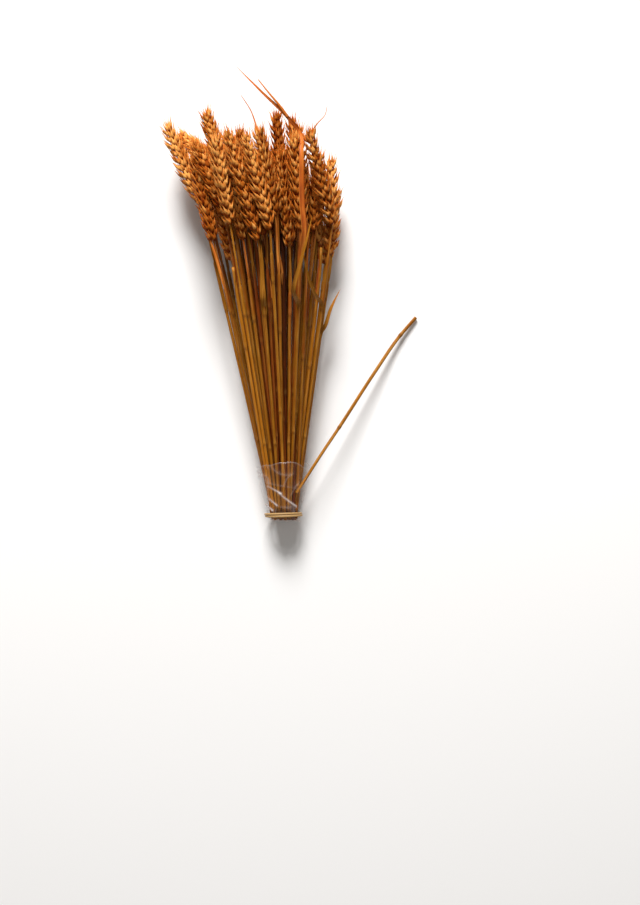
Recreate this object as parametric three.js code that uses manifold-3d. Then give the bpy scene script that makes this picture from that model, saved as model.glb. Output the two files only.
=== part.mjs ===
import * as THREE from "three";
import { mergeVertices } from "three/addons/utils/BufferGeometryUtils.js";
import Module from "manifold-3d";

// A bundle of dried wheat lying on a flat surface: the stalks, each grown in one piece with its ear and its
// dried leaves, one broken straw, a clear film sleeve round the cut ends and a rubber band over the sleeve.
// Sizes are in millimetres. +Y runs from the cut ends to the ears, +Z points up, and the origin is on the
// surface, under the band.

// Driving dimensions of one stalk
const CULM_RADIUS = 1.5;
const SHEATH_RADIUS = 1.95; // just above a knot, where the leaf sheath wraps the culm
const KNOT_UNDER_EAR = 26; // the least distance from a knot to the ear over it
const KNOTS_FROM = 180; // the levels between which a stalk has its upper knot
const KNOTS_TO = 236;
const KNOT_LENGTH = 3;
const NECK_RADIUS = 1; // under the ear
const CORE_HALF_WIDTH = 0.75; // of the flat core that the spikelets grow from
const CORE_HALF_DEPTH = 1.5;
const EAR_HALF_WIDTH = 9.4; // across the two rows of spikelets
const EAR_HALF_DEPTH = 5.5;
const EAR_LENGTH = 86;
const SLIM_END = 0.62; // the ear's fullness at its ends, as a share of the fullness at its middle
const SPIKELETS = 13; // in two rows, with one more at the tip
const SPIKELETS_UP_TO = 0.86; // as a share of the ear's length, like the next two
const TOP_SPIKELET_FROM = 0.8;
const CORE_UP_TO = 0.85;
const SPIKELET_LENGTH = 18.5;
const SPIKELET_SPREAD = 0.49; // angle between a spikelet and the ear's axis, in radians
const SPIKELET_SHOULDER = 0.46; // where it is widest, as a share of its length
const SPIKELET_OUTLINE = [[-2, 4.4], [3.7, 0], [-2, -4.4]]; // outwards and across, at the shoulder
const TOP_SPIKELET_OUTLINE = [[2.8, 0], [0, 3.4], [-2.8, 0], [0, -3.4]];
const LEAF_THICKNESS = 0.8;
const LEAF_ROOT = 1.6; // width inside the culm
const LEAF_TIP = 0.8; // width at the tip
const LEAF_TAPER = 3; // a greater number keeps a leaf wide for longer
const LEAF_LIFT = 1; // of a leaf's middle above what it lies on
const COVER_MARGIN = 1.2; // kept round each stalk under a leaf

// Driving dimensions of the whole bundle, which give the lines that the stalks follow
const CUT_LEVEL = -4.6; // mean height of the cut ends along Y, below the band at 0
const TIE_HALF_WIDTH = 14; // to the middles of the outermost stalks, under the band
const TIE_HALF_HEIGHT = 12.6;
const SPREAD_X = 0.17; // growth of the half width for each millimetre along Y
const SPREAD_Z = 0.118;
const HEAD_LEVEL = 330; // where the ears are thickest
const HEAD_LEAN = 24; // how far the ears lean towards -X at that level
const LEAN_POWER = 2.6; // how the lean grows from the band
const REST_AT_TIE = 4.8; // from the surface to the middle of the lowest stalk
const REST_AT_HEAD = 3;

// Ears on the upper side, placed one by one: x and y of the foot and the tip of each ear, how far it lies
// under the upper outline of the bundle, and how far it is turned about its own axis
const UPPER_EARS = [
  { foot: [-83, 315], tip: [-118, 393], sink: 19, turn: 0.2 },
  { foot: [-69, 297], tip: [-92, 371], sink: 48, turn: -0.5 },
  { foot: [-53, 298], tip: [-83, 372], sink: 18, turn: -0.5 },
  { foot: [-59, 331], tip: [-79, 401], sink: 25, turn: -0.4 },
  { foot: [-43, 255], tip: [-68, 341], sink: 24, turn: -0.6 },
  { foot: [-51, 288], tip: [-67, 375], sink: 0, turn: -0.6 },
  { foot: [-23, 272], tip: [-55, 380], sink: 0, turn: -0.6 },
  { foot: [-9, 282], tip: [-34, 376], sink: 0, turn: -0.6 },
  { foot: [17, 281], tip: [9, 376], sink: 0, turn: -0.5 },
  { foot: [-11, 296], tip: [-31, 382], sink: 5, turn: 0.6 },
  { foot: [30, 283], tip: [38, 363], sink: 24, turn: -0.5 },
  { foot: [48, 291], tip: [24, 383], sink: 2, turn: -0.3 },
  { foot: [47, 261], tip: [45, 360], sink: 14, turn: -0.3 },
  { foot: [41, 253], tip: [53, 330], sink: 29, turn: -0.8 },
  { foot: [0, 316], tip: [-9, 403], sink: 44, turn: 0.4 },
  { foot: [17, 315], tip: [8, 400], sink: 60, turn: -0.6 },
  { foot: [19, 300], tip: [12, 388], sink: 26, turn: 0.5 },
  { foot: [-30, 299], tip: [-44, 383], sink: 28, turn: 0.8 },
];
// One ear on the left nods over sideways: x, y and z of its foot and its tip
const NODDING_EAR = { foot: [-58, 342, 68], tip: [-110, 384, 33], turn: 0.3 };
// The rest are placed by a rule: their feet are lower towards the outside and towards +X
const INNER_EARS = 27;
const INNER_SPREAD_X = 0.85; // how far they spread over the cross-section, and their middle in it
const INNER_SPREAD_Z = 0.95;
const INNER_MIDDLE = [0.03, -0.12];
const INNER_FOOT_LEVEL = 291;
const INNER_FOOT_FALL = 22;
const INNER_FOOT_SLOPE = 15;
const INNER_SCATTER = 24;

// Straws whose ears have broken off, which end among the others: x and y of the top end, and how far it lies
// under the upper outline
const BARE_STRAWS = [
  { top: [-48, 246], sink: 2 },
  { top: [-36, 292], sink: 32 },
  { top: [-17, 276], sink: 23 },
  { top: [-2, 280], sink: 34 },
  { top: [15, 284], sink: 20 },
  { top: [24, 292], sink: 24 },
  { top: [38, 268], sink: 24 },
  { top: [-5, 270], sink: 69 },
];
const BARE_END = 20; // from the last bend of such a straw to its top end
const BARE_KNOT_DROP = 60; // how much lower its knot is
const BARE_END_RADIUS = 1.3;

// Dried leaves, each with the number of its stalk, the level where it leaves the culm, its greatest width
// and its way. A point of the way lies on top of the stalks under it, unless its height is given. One leaf
// is torn lengthwise near its end, so that a narrow strip leaves it there.
const LEAVES = [
  {
    stalk: 9,
    from: 248,
    width: 4.8,
    way: [
      [21.5, 280], [19.5, 306], [19, 332], [19, 358],
      [17.5, 378, 90], [5.5, 392, 94], [-21, 417.5, 95], [-45, 442, 90],
    ],
    tear: { after: 7, width: 2, way: [[-3, 403.5, 97], [-12, 414, 98], [-23.5, 428.5, 96]] },
  },
  { stalk: 9, from: 200, width: 3.6, way: [[11, 222, 84], [18, 250, 90], [24, 272, 94], [29, 294, 94]] },
  { stalk: 12, from: 202, width: 3.4, way: [[32, 220, 56], [26, 236, 66], [20, 263, 76]] },
  { stalk: 7, from: 198, width: 5.4, way: [[-19, 214], [-20, 238], [-21, 266]] },
  { stalk: 13, from: 176, width: 3.4, way: [[42, 190, 35], [47, 205, 37], [57, 226, 35]] },
];

// Long thin awns, each with the number of its stalk, from the tip of its ear along its way
const AWNS = [
  { stalk: 12, width: 1.3, way: [[35, 387, 90], [42, 395, 90], [44, 403, 90]] },
  { stalk: 10, width: 1.5, way: [[-31, 398, 100], [-40, 412, 102]] },
];

// Film sleeve: its edges along Y, its wall, and the pocket at the right in which the broken straw sticks
const FILM_FROM = -7;
const FILM_TO = 51;
const FILM_WALL = 0.8;
const FILM_SLACK = 0.9; // clear of the outermost stalks
const POCKET_DEPTH = 5.6;
const POCKET_ANGLE = 0.5;
const POCKET_WIDTH = 0.55; // as an angle, like the next ones
const POCKET_DIP = 18; // how far the upper edge dips there
const POCKET_DIP_ANGLE = 0.35;
const POCKET_DIP_WIDTH = 0.4;
const FILM_SLANT = 3; // of the upper edge
const FLARE = 2.2; // how far the film stands off at the left
const SLEEVE_SIDES = 20;

// Rubber band over the sleeve
const BAND_HALF_LENGTH = 2.2;
const BAND_THICKNESS = 1.6;
const BAND_GAP = 0.5;

// Broken straw: its way from the end in the pocket to the cut end, with the levels of its two knots
const STRAW_WAY = [
  [13, 21, 29.5], [38.5, 61, 25.6], [56.5, 88, 21],
  [92, 143, 12], [119, 182, 5], [134.6, 200, 2.3],
];
const STRAW_KNOTS = [88, 182];
const STRAW_RADIUS = 1.6;
const STRAW_KNOT_SWELLING = 1.15;
const STRAW_END_NARROWING = 0.8; // at the end in the pocket

// The lines of the stalks are straight between these levels, and between the ear's foot and its tip
const BEND_LEVELS = [0, 46, 122, 220];
const NO_BEND_UNDER_EAR = 14; // a stalk has no such bend so near under its ear
const LEVEL_STEP = 8; // spacing of the levels at which the stalks are kept apart
const LEVELS = 53;

// The layout: rounds, what it keeps between stalks, and how strongly each round pulls a stalk home,
// straightens it, draws it together under the film and lets its ear sink
const ROUNDS = 700;
const STALK_GAP = 0.4;
const FARTHEST_TOUCH = 40; // stalks farther apart than this can't meet
const EAR_MARGIN = 2; // an ear takes room this far beyond its foot and its tip
const NODDING_MARGIN = 7; // the same for an ear that nods sideways
const HOME_PULL = 0.01;
const STRAIGHTENING = 0.03;
const DRAW_TOGETHER = [0.012, 0.002];
const SAG = 0.1;
const PRESSED_FLAT = 0.5; // how deep the lowest ears are pressed flat on the surface
const LOWEST_BEND = 2.2; // height that the stalks keep above the surface between band and ears

const wasm = await Module();
wasm.setup();

// Repeatable random numbers from 0 to 1
function randomSource(seed) {
  let state = seed;
  return () => {
    state = (state + 0x6d2b79f5) | 0;
    let t = Math.imul(state ^ (state >>> 15), 1 | state);
    t = (t + Math.imul(t ^ (t >>> 7), 61 | t)) ^ t;
    return ((t ^ (t >>> 14)) >>> 0) / 4294967296;
  };
}

const { clamp, lerp } = THREE.MathUtils;

// Middle and half sizes of the bundle's cross-section, measured to the middles of the outermost stalks
function section(y) {
  const level = Math.max(y, 0);
  const share = level / HEAD_LEVEL;
  const halfHeight = TIE_HALF_HEIGHT + SPREAD_Z * level;
  return {
    x: -HEAD_LEAN * Math.pow(share, LEAN_POWER),
    z: lerp(REST_AT_TIE, REST_AT_HEAD, share) + halfHeight,
    halfWidth: TIE_HALF_WIDTH + SPREAD_X * level,
    halfHeight,
  };
}

// The place of a point in the unit disc of the cross-section at its level, and the other way round
function toDisc([x, y, z]) {
  const s = section(y);
  return [(x - s.x) / s.halfWidth, (z - s.z) / s.halfHeight];
}

function fromDisc([u, v], y) {
  const s = section(y);
  return [s.x + s.halfWidth * u, y, s.z + s.halfHeight * v];
}

// A point on the upper outline, lowered by sink
function onUpperOutline([x, y], sink) {
  const s = section(y);
  const across = clamp((x - s.x) / s.halfWidth, -0.98, 0.98);
  return [x, y, s.z + s.halfHeight * Math.sqrt(1 - across * across) - sink];
}

// Where each stalk starts out: the foot and the tip of its ear as points, its turn, and how easily it
// gives way to the others
function seedStalks() {
  const random = randomSource(7);
  const upper = UPPER_EARS.map(({ foot, tip, sink, turn }) => ({
    foot: onUpperOutline(foot, sink),
    tip: onUpperOutline(tip, sink),
    turn,
    give: 0.25,
  }));
  const nodding = { ...NODDING_EAR, give: 0.1 };
  const goldenAngle = Math.PI * (3 - Math.sqrt(5));
  const inner = Array.from({ length: INNER_EARS }, (_, i) => {
    const radius = Math.sqrt((i + 0.5) / INNER_EARS);
    const u = INNER_MIDDLE[0] + INNER_SPREAD_X * radius * Math.cos(i * goldenAngle);
    const v = INNER_MIDDLE[1] + INNER_SPREAD_Z * radius * Math.sin(i * goldenAngle);
    const fall = INNER_FOOT_FALL * radius * radius + INNER_FOOT_SLOPE * u;
    const foot = INNER_FOOT_LEVEL - fall + INNER_SCATTER * (random() - 0.5);
    const tip = foot + EAR_LENGTH * (0.9 + 0.22 * random());
    const turn = Math.atan2(-v, u) + Math.PI / 2 + 0.9 * (random() - 0.5);
    return { foot: fromDisc([u, v], foot), tip: fromDisc([u, v], tip), turn, give: 1 };
  });
  const bare = BARE_STRAWS.map(({ top, sink }) => {
    const tip = onUpperOutline(top, sink);
    return { foot: fromDisc(toDisc(tip), tip[1] - BARE_END), tip, turn: 0, give: 1, bare: true };
  });
  return [...upper, nodding, ...inner, ...bare];
}

// How full the ear is along its length: slim at the foot, widest below the middle, slim at the tip
function earFullness(along) {
  return SLIM_END + (1 - SLIM_END) * Math.sin(Math.PI * Math.pow(clamp(along, 0, 1), 0.75));
}

// The room that a stalk takes at one level: half width, half depth and turn of an ellipse. An ear that
// leans far over is cut by the level at a slant, so its ellipse is long in the direction of its lean.
function roomAt(stalk, y) {
  const [footX, footY, footZ] = stalk.foot;
  const [tipX, tipY, tipZ] = stalk.tip;
  const leanX = (tipX - footX) / (tipY - footY);
  const leanZ = (tipZ - footZ) / (tipY - footY);
  const slant = Math.hypot(1, leanX, leanZ);
  const nods = slant > 1.5;
  const margin = nods ? NODDING_MARGIN : EAR_MARGIN;
  if (y > tipY + margin) return null;
  if (stalk.bare || y < footY - margin) {
    const lowest = KNOTS_FROM - (stalk.bare ? BARE_KNOT_DROP : 0);
    const radius = y > lowest ? SHEATH_RADIUS : CULM_RADIUS;
    return { halfWidth: radius, halfDepth: radius, turn: 0 };
  }
  const fullness = earFullness((y - footY) / (tipY - footY));
  if (nods) {
    const radius = 0.8 * EAR_HALF_WIDTH * fullness;
    return { halfWidth: radius * slant, halfDepth: radius, turn: Math.atan2(leanZ, leanX) };
  }
  return { halfWidth: EAR_HALF_WIDTH * fullness, halfDepth: EAR_HALF_DEPTH * fullness, turn: stalk.turn };
}

// How far that ellipse reaches in the direction dx, dz
function reach(room, dx, dz) {
  const along = dx * Math.cos(room.turn) + dz * Math.sin(room.turn);
  const across = dz * Math.cos(room.turn) - dx * Math.sin(room.turn);
  return Math.hypot(room.halfWidth * along, room.halfDepth * across);
}

// The levels of a stalk's bends under its ear
function bendLevels(stalk) {
  return BEND_LEVELS.filter((y) => y < stalk.foot[1] - NO_BEND_UNDER_EAR);
}

// The line of every stalk as a list of bends. Stalks that come too close at a level push each other
// apart, and each push moves the two bends beside that level.
function layOut() {
  const stalks = seedStalks();
  for (const stalk of stalks) {
    const disc = toDisc(stalk.foot);
    const low = bendLevels(stalk).map((y) => fromDisc(disc, y));
    stalk.bends = [...low, [...stalk.foot], [...stalk.tip]];
    stalk.home = stalk.bends.map((bend) => [...bend]);
    stalk.levels = [];
    for (let k = 0; k < LEVELS; k++) {
      const y = k * LEVEL_STEP;
      const room = roomAt(stalk, y);
      if (!room) break;
      stalk.levels.push({ y, room, ...placeOnLine(stalk.bends, y) });
    }
  }
  for (let round = 0; round < ROUNDS; round++) {
    for (const stalk of stalks) settleLevels(stalk);
    for (let k = 0; k < LEVELS; k++) pushApart(stalks, k);
    for (const stalk of stalks) moveBends(stalk, 1 - round / ROUNDS);
  }
  for (const stalk of stalks) settleLevels(stalk);
  return stalks;
}

// The bend before a level, and how far on the level is to the next one
function placeOnLine(bends, y) {
  let i = 0;
  while (i < bends.length - 2 && y > bends[i + 1][1]) i++;
  const share = clamp((y - bends[i][1]) / (bends[i + 1][1] - bends[i][1]), 0, 1);
  return { bend: i, share };
}

function settleLevels(stalk) {
  for (const level of stalk.levels) {
    const a = stalk.bends[level.bend];
    const b = stalk.bends[level.bend + 1];
    level.x = lerp(a[0], b[0], level.share);
    level.z = lerp(a[2], b[2], level.share);
    level.pushX = 0;
    level.pushZ = 0;
  }
}

function pushApart(stalks, k) {
  const here = stalks.filter((stalk) => k < stalk.levels.length);
  for (let i = 0; i < here.length; i++) {
    for (let j = i + 1; j < here.length; j++) {
      const a = here[i].levels[k];
      const b = here[j].levels[k];
      const dx = b.x - a.x;
      const dz = b.z - a.z;
      const distance = Math.hypot(dx, dz) || 1e-6;
      if (distance > FARTHEST_TOUCH) continue;
      const ux = dx / distance;
      const uz = dz / distance;
      const lack = reach(a.room, ux, uz) + reach(b.room, ux, uz) + STALK_GAP - distance;
      if (lack <= 0) continue;
      const total = here[i].give + here[j].give;
      const pushA = (lack * here[i].give) / total;
      const pushB = (lack * here[j].give) / total;
      a.pushX -= pushA * ux;
      a.pushZ -= pushA * uz;
      b.pushX += pushB * ux;
      b.pushZ += pushB * uz;
    }
  }
}

// Moves the bends by the pushes at their levels, weakly back home, and straighter. Under the film the
// stalks are drawn together and kept inside, and everywhere they stay off the surface.
function moveBends(stalk, looseness) {
  const sums = stalk.bends.map(() => ({ x: 0, z: 0, weight: 0 }));
  for (const level of stalk.levels) {
    if (!level.pushX && !level.pushZ) continue;
    for (const [i, weight] of [[level.bend, 1 - level.share], [level.bend + 1, level.share]]) {
      sums[i].x += weight * level.pushX;
      sums[i].z += weight * level.pushZ;
      sums[i].weight += weight;
    }
  }
  stalk.bends.forEach((bend, i) => {
    const sum = sums[i];
    if (sum.weight) {
      bend[0] += sum.x / Math.max(sum.weight, 0.5);
      bend[2] += sum.z / Math.max(sum.weight, 0.5);
    }
    const home = stalk.home[i];
    bend[0] += HOME_PULL * looseness * (home[0] - bend[0]);
    bend[2] += HOME_PULL * looseness * (home[2] - bend[2]);
    if (i > 0 && i < stalk.bends.length - 2) straighten(stalk.bends, i);
    const s = section(bend[1]);
    if (i < DRAW_TOGETHER.length) {
      const draw = DRAW_TOGETHER[i] * looseness;
      bend[0] += draw * (s.x - bend[0]);
      bend[2] += draw * (s.z - bend[2]);
      const out = Math.hypot((bend[0] - s.x) / s.halfWidth, (bend[2] - s.z) / s.halfHeight);
      if (out > 1) {
        bend[0] = s.x + (bend[0] - s.x) / out;
        bend[2] = s.z + (bend[2] - s.z) / out;
      }
    }
    let floor = i === 0 ? REST_AT_TIE : LOWEST_BEND;
    if (i >= stalk.bends.length - 2 && !stalk.bare) {
      bend[2] -= SAG * looseness;
      floor = reach(roomAt(stalk, lerp(stalk.foot[1], stalk.tip[1], 0.4)), 0, 1) - PRESSED_FLAT;
    }
    bend[2] = Math.max(bend[2], floor);
  });
}

function straighten(bends, i) {
  const [before, bend, after] = bends.slice(i - 1, i + 2);
  const share = (bend[1] - before[1]) / (after[1] - before[1]);
  bend[0] += STRAIGHTENING * (lerp(before[0], after[0], share) - bend[0]);
  bend[2] += STRAIGHTENING * (lerp(before[2], after[2], share) - bend[2]);
}

// The point on a stalk's line at a level, and the line's direction there
function pointAt(stalk, y) {
  const { bend } = placeOnLine(stalk.bends, y);
  const a = new THREE.Vector3(...stalk.bends[bend]);
  const b = new THREE.Vector3(...stalk.bends[bend + 1]);
  return a.lerp(b, (y - a.y) / (b.y - a.y));
}

function directionAt(stalk, y) {
  return pointAt(stalk, y + 3).sub(pointAt(stalk, y - 3)).normalize();
}

// The two directions across a stalk at a level: side lies along its rows of spikelets
function frameAt(stalk, y) {
  const along = directionAt(stalk, y);
  const side = new THREE.Vector3(Math.cos(stalk.turn), 0, Math.sin(stalk.turn));
  side.addScaledVector(along, -side.dot(along)).normalize();
  const up = new THREE.Vector3().crossVectors(side, along).normalize();
  return { along, side, up };
}

// A closed solid from points and triangles, with its faces turned out
function solidOf(points, index) {
  const vertProperties = new Float32Array(points.flatMap((p) => p.toArray()));
  const make = (triVerts) => new wasm.Manifold(new wasm.Mesh({ numProp: 3, vertProperties, triVerts }));
  const solid = make(new Uint32Array(index));
  if (solid.volume() > 0) return solid;
  const turned = new Uint32Array(index);
  for (let i = 0; i < turned.length; i += 3) [turned[i], turned[i + 1]] = [turned[i + 1], turned[i]];
  return make(turned);
}

// A closed solid from rings of points, each ring running the same way round, with flat ends
function loft(rings) {
  const sides = rings[0].length;
  const index = [];
  for (let r = 0; r + 1 < rings.length; r++) {
    for (let s = 0; s < sides; s++) {
      const a = r * sides + s;
      const b = r * sides + ((s + 1) % sides);
      index.push(a, b, b + sides, a, b + sides, a + sides);
    }
  }
  const end = (rings.length - 1) * sides;
  for (let s = 1; s + 1 < sides; s++) index.push(0, s + 1, s, end, end + s, end + s + 1);
  return solidOf(rings.flat(), index);
}

// Points round centre, given by their places along the directions side and up
function ring(centre, side, up, outline) {
  return outline.map(([a, b]) => centre.clone().addScaledVector(side, a).addScaledVector(up, b));
}

// A regular outline, and the flat one of the ear's core, both with five corners
function roundOutline(radius) {
  return Array.from({ length: 5 }, (_, i) => {
    const angle = -2.2 + (2 * Math.PI * i) / 5;
    return [radius * Math.cos(angle), radius * Math.sin(angle)];
  });
}

function coreOutline(size) {
  const half = CORE_HALF_WIDTH * size;
  const deep = CORE_HALF_DEPTH * size;
  return [[-half, -deep], [half, -deep], [half, deep], [0, deep], [-half, deep]];
}

// The culm from the cut end to the ear's foot, and on as the slim core of the ear. It is thicker above
// its knot, where a sheath wraps it, and slim again under the ear. A bare one ends with its straw.
function culmSolid(stalk) {
  const foot = stalk.foot[1];
  const length = stalk.tip[1] - foot;
  const upper = [
    [foot - 4, roundOutline(NECK_RADIUS)],
    [foot + 3, coreOutline(0.9)],
    [foot + 0.5 * length, coreOutline(1)],
    [foot + CORE_UP_TO * length, coreOutline(0.7)],
  ];
  const stations = [
    [stalk.cut, roundOutline(CULM_RADIUS)],
    [stalk.knot, roundOutline(CULM_RADIUS)],
    [stalk.knot + KNOT_LENGTH, roundOutline(SHEATH_RADIUS)],
    ...(stalk.bare ? [[stalk.tip[1], roundOutline(BARE_END_RADIUS)]] : upper),
  ];
  for (const y of bendLevels(stalk).slice(1)) {
    stations.push([y, roundOutline(y < stalk.knot ? CULM_RADIUS : SHEATH_RADIUS - 0.3)]);
  }
  stations.sort((a, b) => a[0] - b[0]);
  const rings = stations.map(([y, outline]) => {
    const f = frameAt(stalk, y);
    return ring(pointAt(stalk, y), f.side, f.up, outline);
  });
  return loft(rings);
}

// A solid with a point at either end and a ring of corners between
function kite(root, corners, tip) {
  const index = [];
  const last = corners.length + 1;
  for (let s = 0; s < corners.length; s++) {
    const a = 1 + s;
    const b = 1 + ((s + 1) % corners.length);
    index.push(0, b, a, last, a, b);
  }
  return solidOf([root, ...corners, tip], index);
}

// One spikelet, which leans out from the ear's axis
function spikelet(root, along, out, across, size) {
  const lean = (a, b) => along.clone().multiplyScalar(a).addScaledVector(out, b);
  const axis = lean(Math.cos(SPIKELET_SPREAD), Math.sin(SPIKELET_SPREAD));
  const outward = lean(-Math.sin(SPIKELET_SPREAD), Math.cos(SPIKELET_SPREAD));
  const length = SPIKELET_LENGTH * size;
  const shoulder = root.clone().addScaledVector(axis, SPIKELET_SHOULDER * length);
  const outline = SPIKELET_OUTLINE.map(([a, b]) => [a * size, b * size]);
  return kite(root, ring(shoulder, outward, across, outline), root.clone().addScaledVector(axis, length));
}

// The ear: spikelets in two rows, left and right in turn, and one at the tip
function earSolids(stalk) {
  const foot = stalk.foot[1];
  const length = stalk.tip[1] - foot;
  const solids = [];
  for (let i = 0; i < SPIKELETS; i++) {
    const share = (SPIKELETS_UP_TO * i) / SPIKELETS;
    const y = foot + share * length;
    const f = frameAt(stalk, y);
    const out = f.side.clone().multiplyScalar(i % 2 ? 1 : -1);
    const root = pointAt(stalk, y).addScaledVector(out, 0.2);
    solids.push(spikelet(root, f.along, out, f.up, earFullness(share + 0.08)));
  }
  const y = foot + TOP_SPIKELET_FROM * length;
  const f = frameAt(stalk, y);
  const root = pointAt(stalk, y);
  const tip = pointAt(stalk, stalk.tip[1]);
  const shoulder = root.clone().lerp(tip, 0.5);
  solids.push(kite(root, ring(shoulder, f.side, f.up, TOP_SPIKELET_OUTLINE), tip));
  return solids;
}

// The height of the topmost stalk over a point: the upper side of each turned ellipse, with a margin
function coverAt(stalks, x, y) {
  const k = Math.round(y / LEVEL_STEP);
  let top = 0;
  for (const stalk of stalks) {
    const level = stalk.levels[k];
    if (!level) continue;
    const a = level.room.halfWidth + COVER_MARGIN;
    const b = level.room.halfDepth + COVER_MARGIN;
    const cos = Math.cos(level.room.turn);
    const sin = Math.sin(level.room.turn);
    const across = x - level.x;
    const span = (a * cos) ** 2 + (b * sin) ** 2;
    if (across * across >= span) continue;
    const rise = (a * a - b * b) * sin * cos * across + a * b * Math.sqrt(span - across * across);
    top = Math.max(top, level.z + rise / span);
  }
  return top;
}

// A flat strip along points, as wide as widths tells. Both faces are split alike, so that a bent strip
// is equally thick all along.
function stripSolid(points, widths) {
  const vertical = new THREE.Vector3(0, 0, 1);
  const rings = points.map((point, i) => {
    const before = points[Math.max(i - 1, 0)];
    const after = points[Math.min(i + 1, points.length - 1)];
    const along = after.clone().sub(before).normalize();
    const side = new THREE.Vector3().crossVectors(along, vertical).normalize();
    const up = new THREE.Vector3().crossVectors(side, along);
    const w = widths[i] / 2;
    const t = LEAF_THICKNESS / 2;
    return ring(point, side, up, [[-w, -t], [w, -t], [w, t], [-w, t]]);
  });
  const index = [];
  for (let r = 0; r + 1 < rings.length; r++) {
    for (let s = 0; s < 4; s++) {
      const a = 4 * r + s;
      const b = 4 * r + ((s + 1) % 4);
      if (s === 2) index.push(a, b, a + 4, b, b + 4, a + 4);
      else index.push(a, b, b + 4, a, b + 4, a + 4);
    }
  }
  const end = 4 * (rings.length - 1);
  index.push(0, 2, 1, 0, 3, 2, end, end + 1, end + 2, end, end + 2, end + 3);
  return solidOf(rings.flat(), index);
}

// A leaf: from inside its culm it rises onto its way, and it narrows to its tip
function leafSolids(stalks, { stalk, from, width, way, tear }) {
  const root = pointAt(stalks[stalk - 1], from);
  const start = pointAt(stalks[stalk - 1], from + 7).setZ(root.z + CULM_RADIUS + LEAF_THICKNESS);
  const onWay = way.map(([x, y, z]) => {
    if (z !== undefined) return new THREE.Vector3(x, y, z);
    const under = [-0.6 * width, 0, 0.6 * width].flatMap((dx) => [-9, 0, 9].map((dy) => [x + dx, y + dy]));
    const top = Math.max(...under.map(([atX, atY]) => coverAt(stalks, atX, atY)));
    return new THREE.Vector3(x, y, top + LEAF_LIFT);
  });
  const points = [root, start, ...onWay];
  const widths = points.map((_, i) => {
    const share = i / (points.length - 1);
    return i === 0 ? LEAF_ROOT : width * (1 - Math.pow(share, LEAF_TAPER)) + LEAF_TIP;
  });
  const leaf = stripSolid(points, widths);
  return tear ? [leaf, thinStrip(points[tear.after], tear)] : [leaf];
}

// A long awn grows from just inside the ear's tip
function awnRoot(stalk) {
  return pointAt(stalk, stalk.tip[1] - 7);
}

function thinStrip(start, { width, way }) {
  const points = [start, ...way.map((p) => new THREE.Vector3(...p))];
  return stripSolid(points, points.map((_, i) => width * (1 - (0.5 * i) / (points.length - 1))));
}

// A point of the film sleeve or the band: offset is measured out from the middles of the outermost stalks
function sleevePoint(angle, y, offset) {
  const s = section(y);
  const near = (middle, width) => Math.exp(-(((angle - middle) / width) ** 2));
  const pocket = POCKET_DEPTH * near(POCKET_ANGLE, POCKET_WIDTH) * THREE.MathUtils.smoothstep(y, 0, 34);
  const flare = FLARE * near(Math.PI, POCKET_WIDTH) * THREE.MathUtils.smoothstep(y, 8, 30);
  const out = offset + pocket + flare;
  return new THREE.Vector3(
    s.x + (s.halfWidth + out) * Math.cos(angle),
    y,
    s.z + (s.halfHeight + out) * Math.sin(angle),
  );
}

// The film sleeve: an open tube whose upper edge is slanted and dips where the straw comes out
function filmSolid() {
  const inner = CULM_RADIUS + FILM_SLACK;
  const edge = (angle) => {
    const dip = POCKET_DIP * Math.exp(-(((angle - POCKET_DIP_ANGLE) / POCKET_DIP_WIDTH) ** 2));
    return FILM_TO + FILM_SLANT * Math.sin(angle + 0.6) - dip;
  };
  const levels = [() => FILM_FROM, () => -3.4, () => 3.4, () => 20, edge];
  const angles = Array.from({ length: SLEEVE_SIDES }, (_, i) => {
    const angle = (2 * Math.PI * (i + 0.5)) / SLEEVE_SIDES;
    return angle > 1.6 * Math.PI ? angle - 2 * Math.PI : angle;
  });
  return tubeSolid(
    levels.map((level) => angles.map((angle) => sleevePoint(angle, level(angle), inner + FILM_WALL))),
    levels.map((level) => angles.map((angle) => sleevePoint(angle, level(angle), inner))),
  );
}

// An open tube between outer and inner rings
function tubeSolid(outer, inner) {
  const sides = outer[0].length;
  const rings = [...outer, ...inner.reverse()];
  const index = [];
  for (let r = 0; r < rings.length; r++) {
    for (let s = 0; s < sides; s++) {
      const next = (r + 1) % rings.length;
      const a = r * sides + s;
      const b = r * sides + ((s + 1) % sides);
      const c = next * sides + ((s + 1) % sides);
      const d = next * sides + s;
      index.push(a, b, c, a, c, d);
    }
  }
  return solidOf(rings.flat(), index);
}

// The rubber band: a ring over the sleeve, cut flat where it lies on the surface
function bandSolid() {
  const inner = CULM_RADIUS + FILM_SLACK + FILM_WALL + BAND_GAP;
  const angles = Array.from({ length: SLEEVE_SIDES }, (_, i) => (2 * Math.PI * (i + 0.5)) / SLEEVE_SIDES);
  const around = (y, offset) => angles.map((angle) => sleevePoint(angle, y, offset));
  const sides = [-BAND_HALF_LENGTH, BAND_HALF_LENGTH];
  return tubeSolid(
    sides.map((y) => around(y, inner + BAND_THICKNESS)),
    sides.map((y) => around(y, inner)),
  );
}

// The broken straw: a bare culm with two knots
function strawSolid() {
  const points = STRAW_WAY.map((p) => new THREE.Vector3(...p));
  const rings = points.map((point, i) => {
    const before = points[Math.max(i - 1, 0)];
    const after = points[Math.min(i + 1, points.length - 1)];
    const along = after.clone().sub(before).normalize();
    const side = new THREE.Vector3().crossVectors(along, new THREE.Vector3(0, 0, 1)).normalize();
    const up = new THREE.Vector3().crossVectors(side, along);
    const radius = STRAW_KNOTS.includes(point.y) ? STRAW_KNOT_SWELLING * STRAW_RADIUS : STRAW_RADIUS;
    return ring(point, side, up, roundOutline(i ? radius : STRAW_END_NARROWING * STRAW_RADIUS));
  });
  return loft(rings);
}

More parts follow.
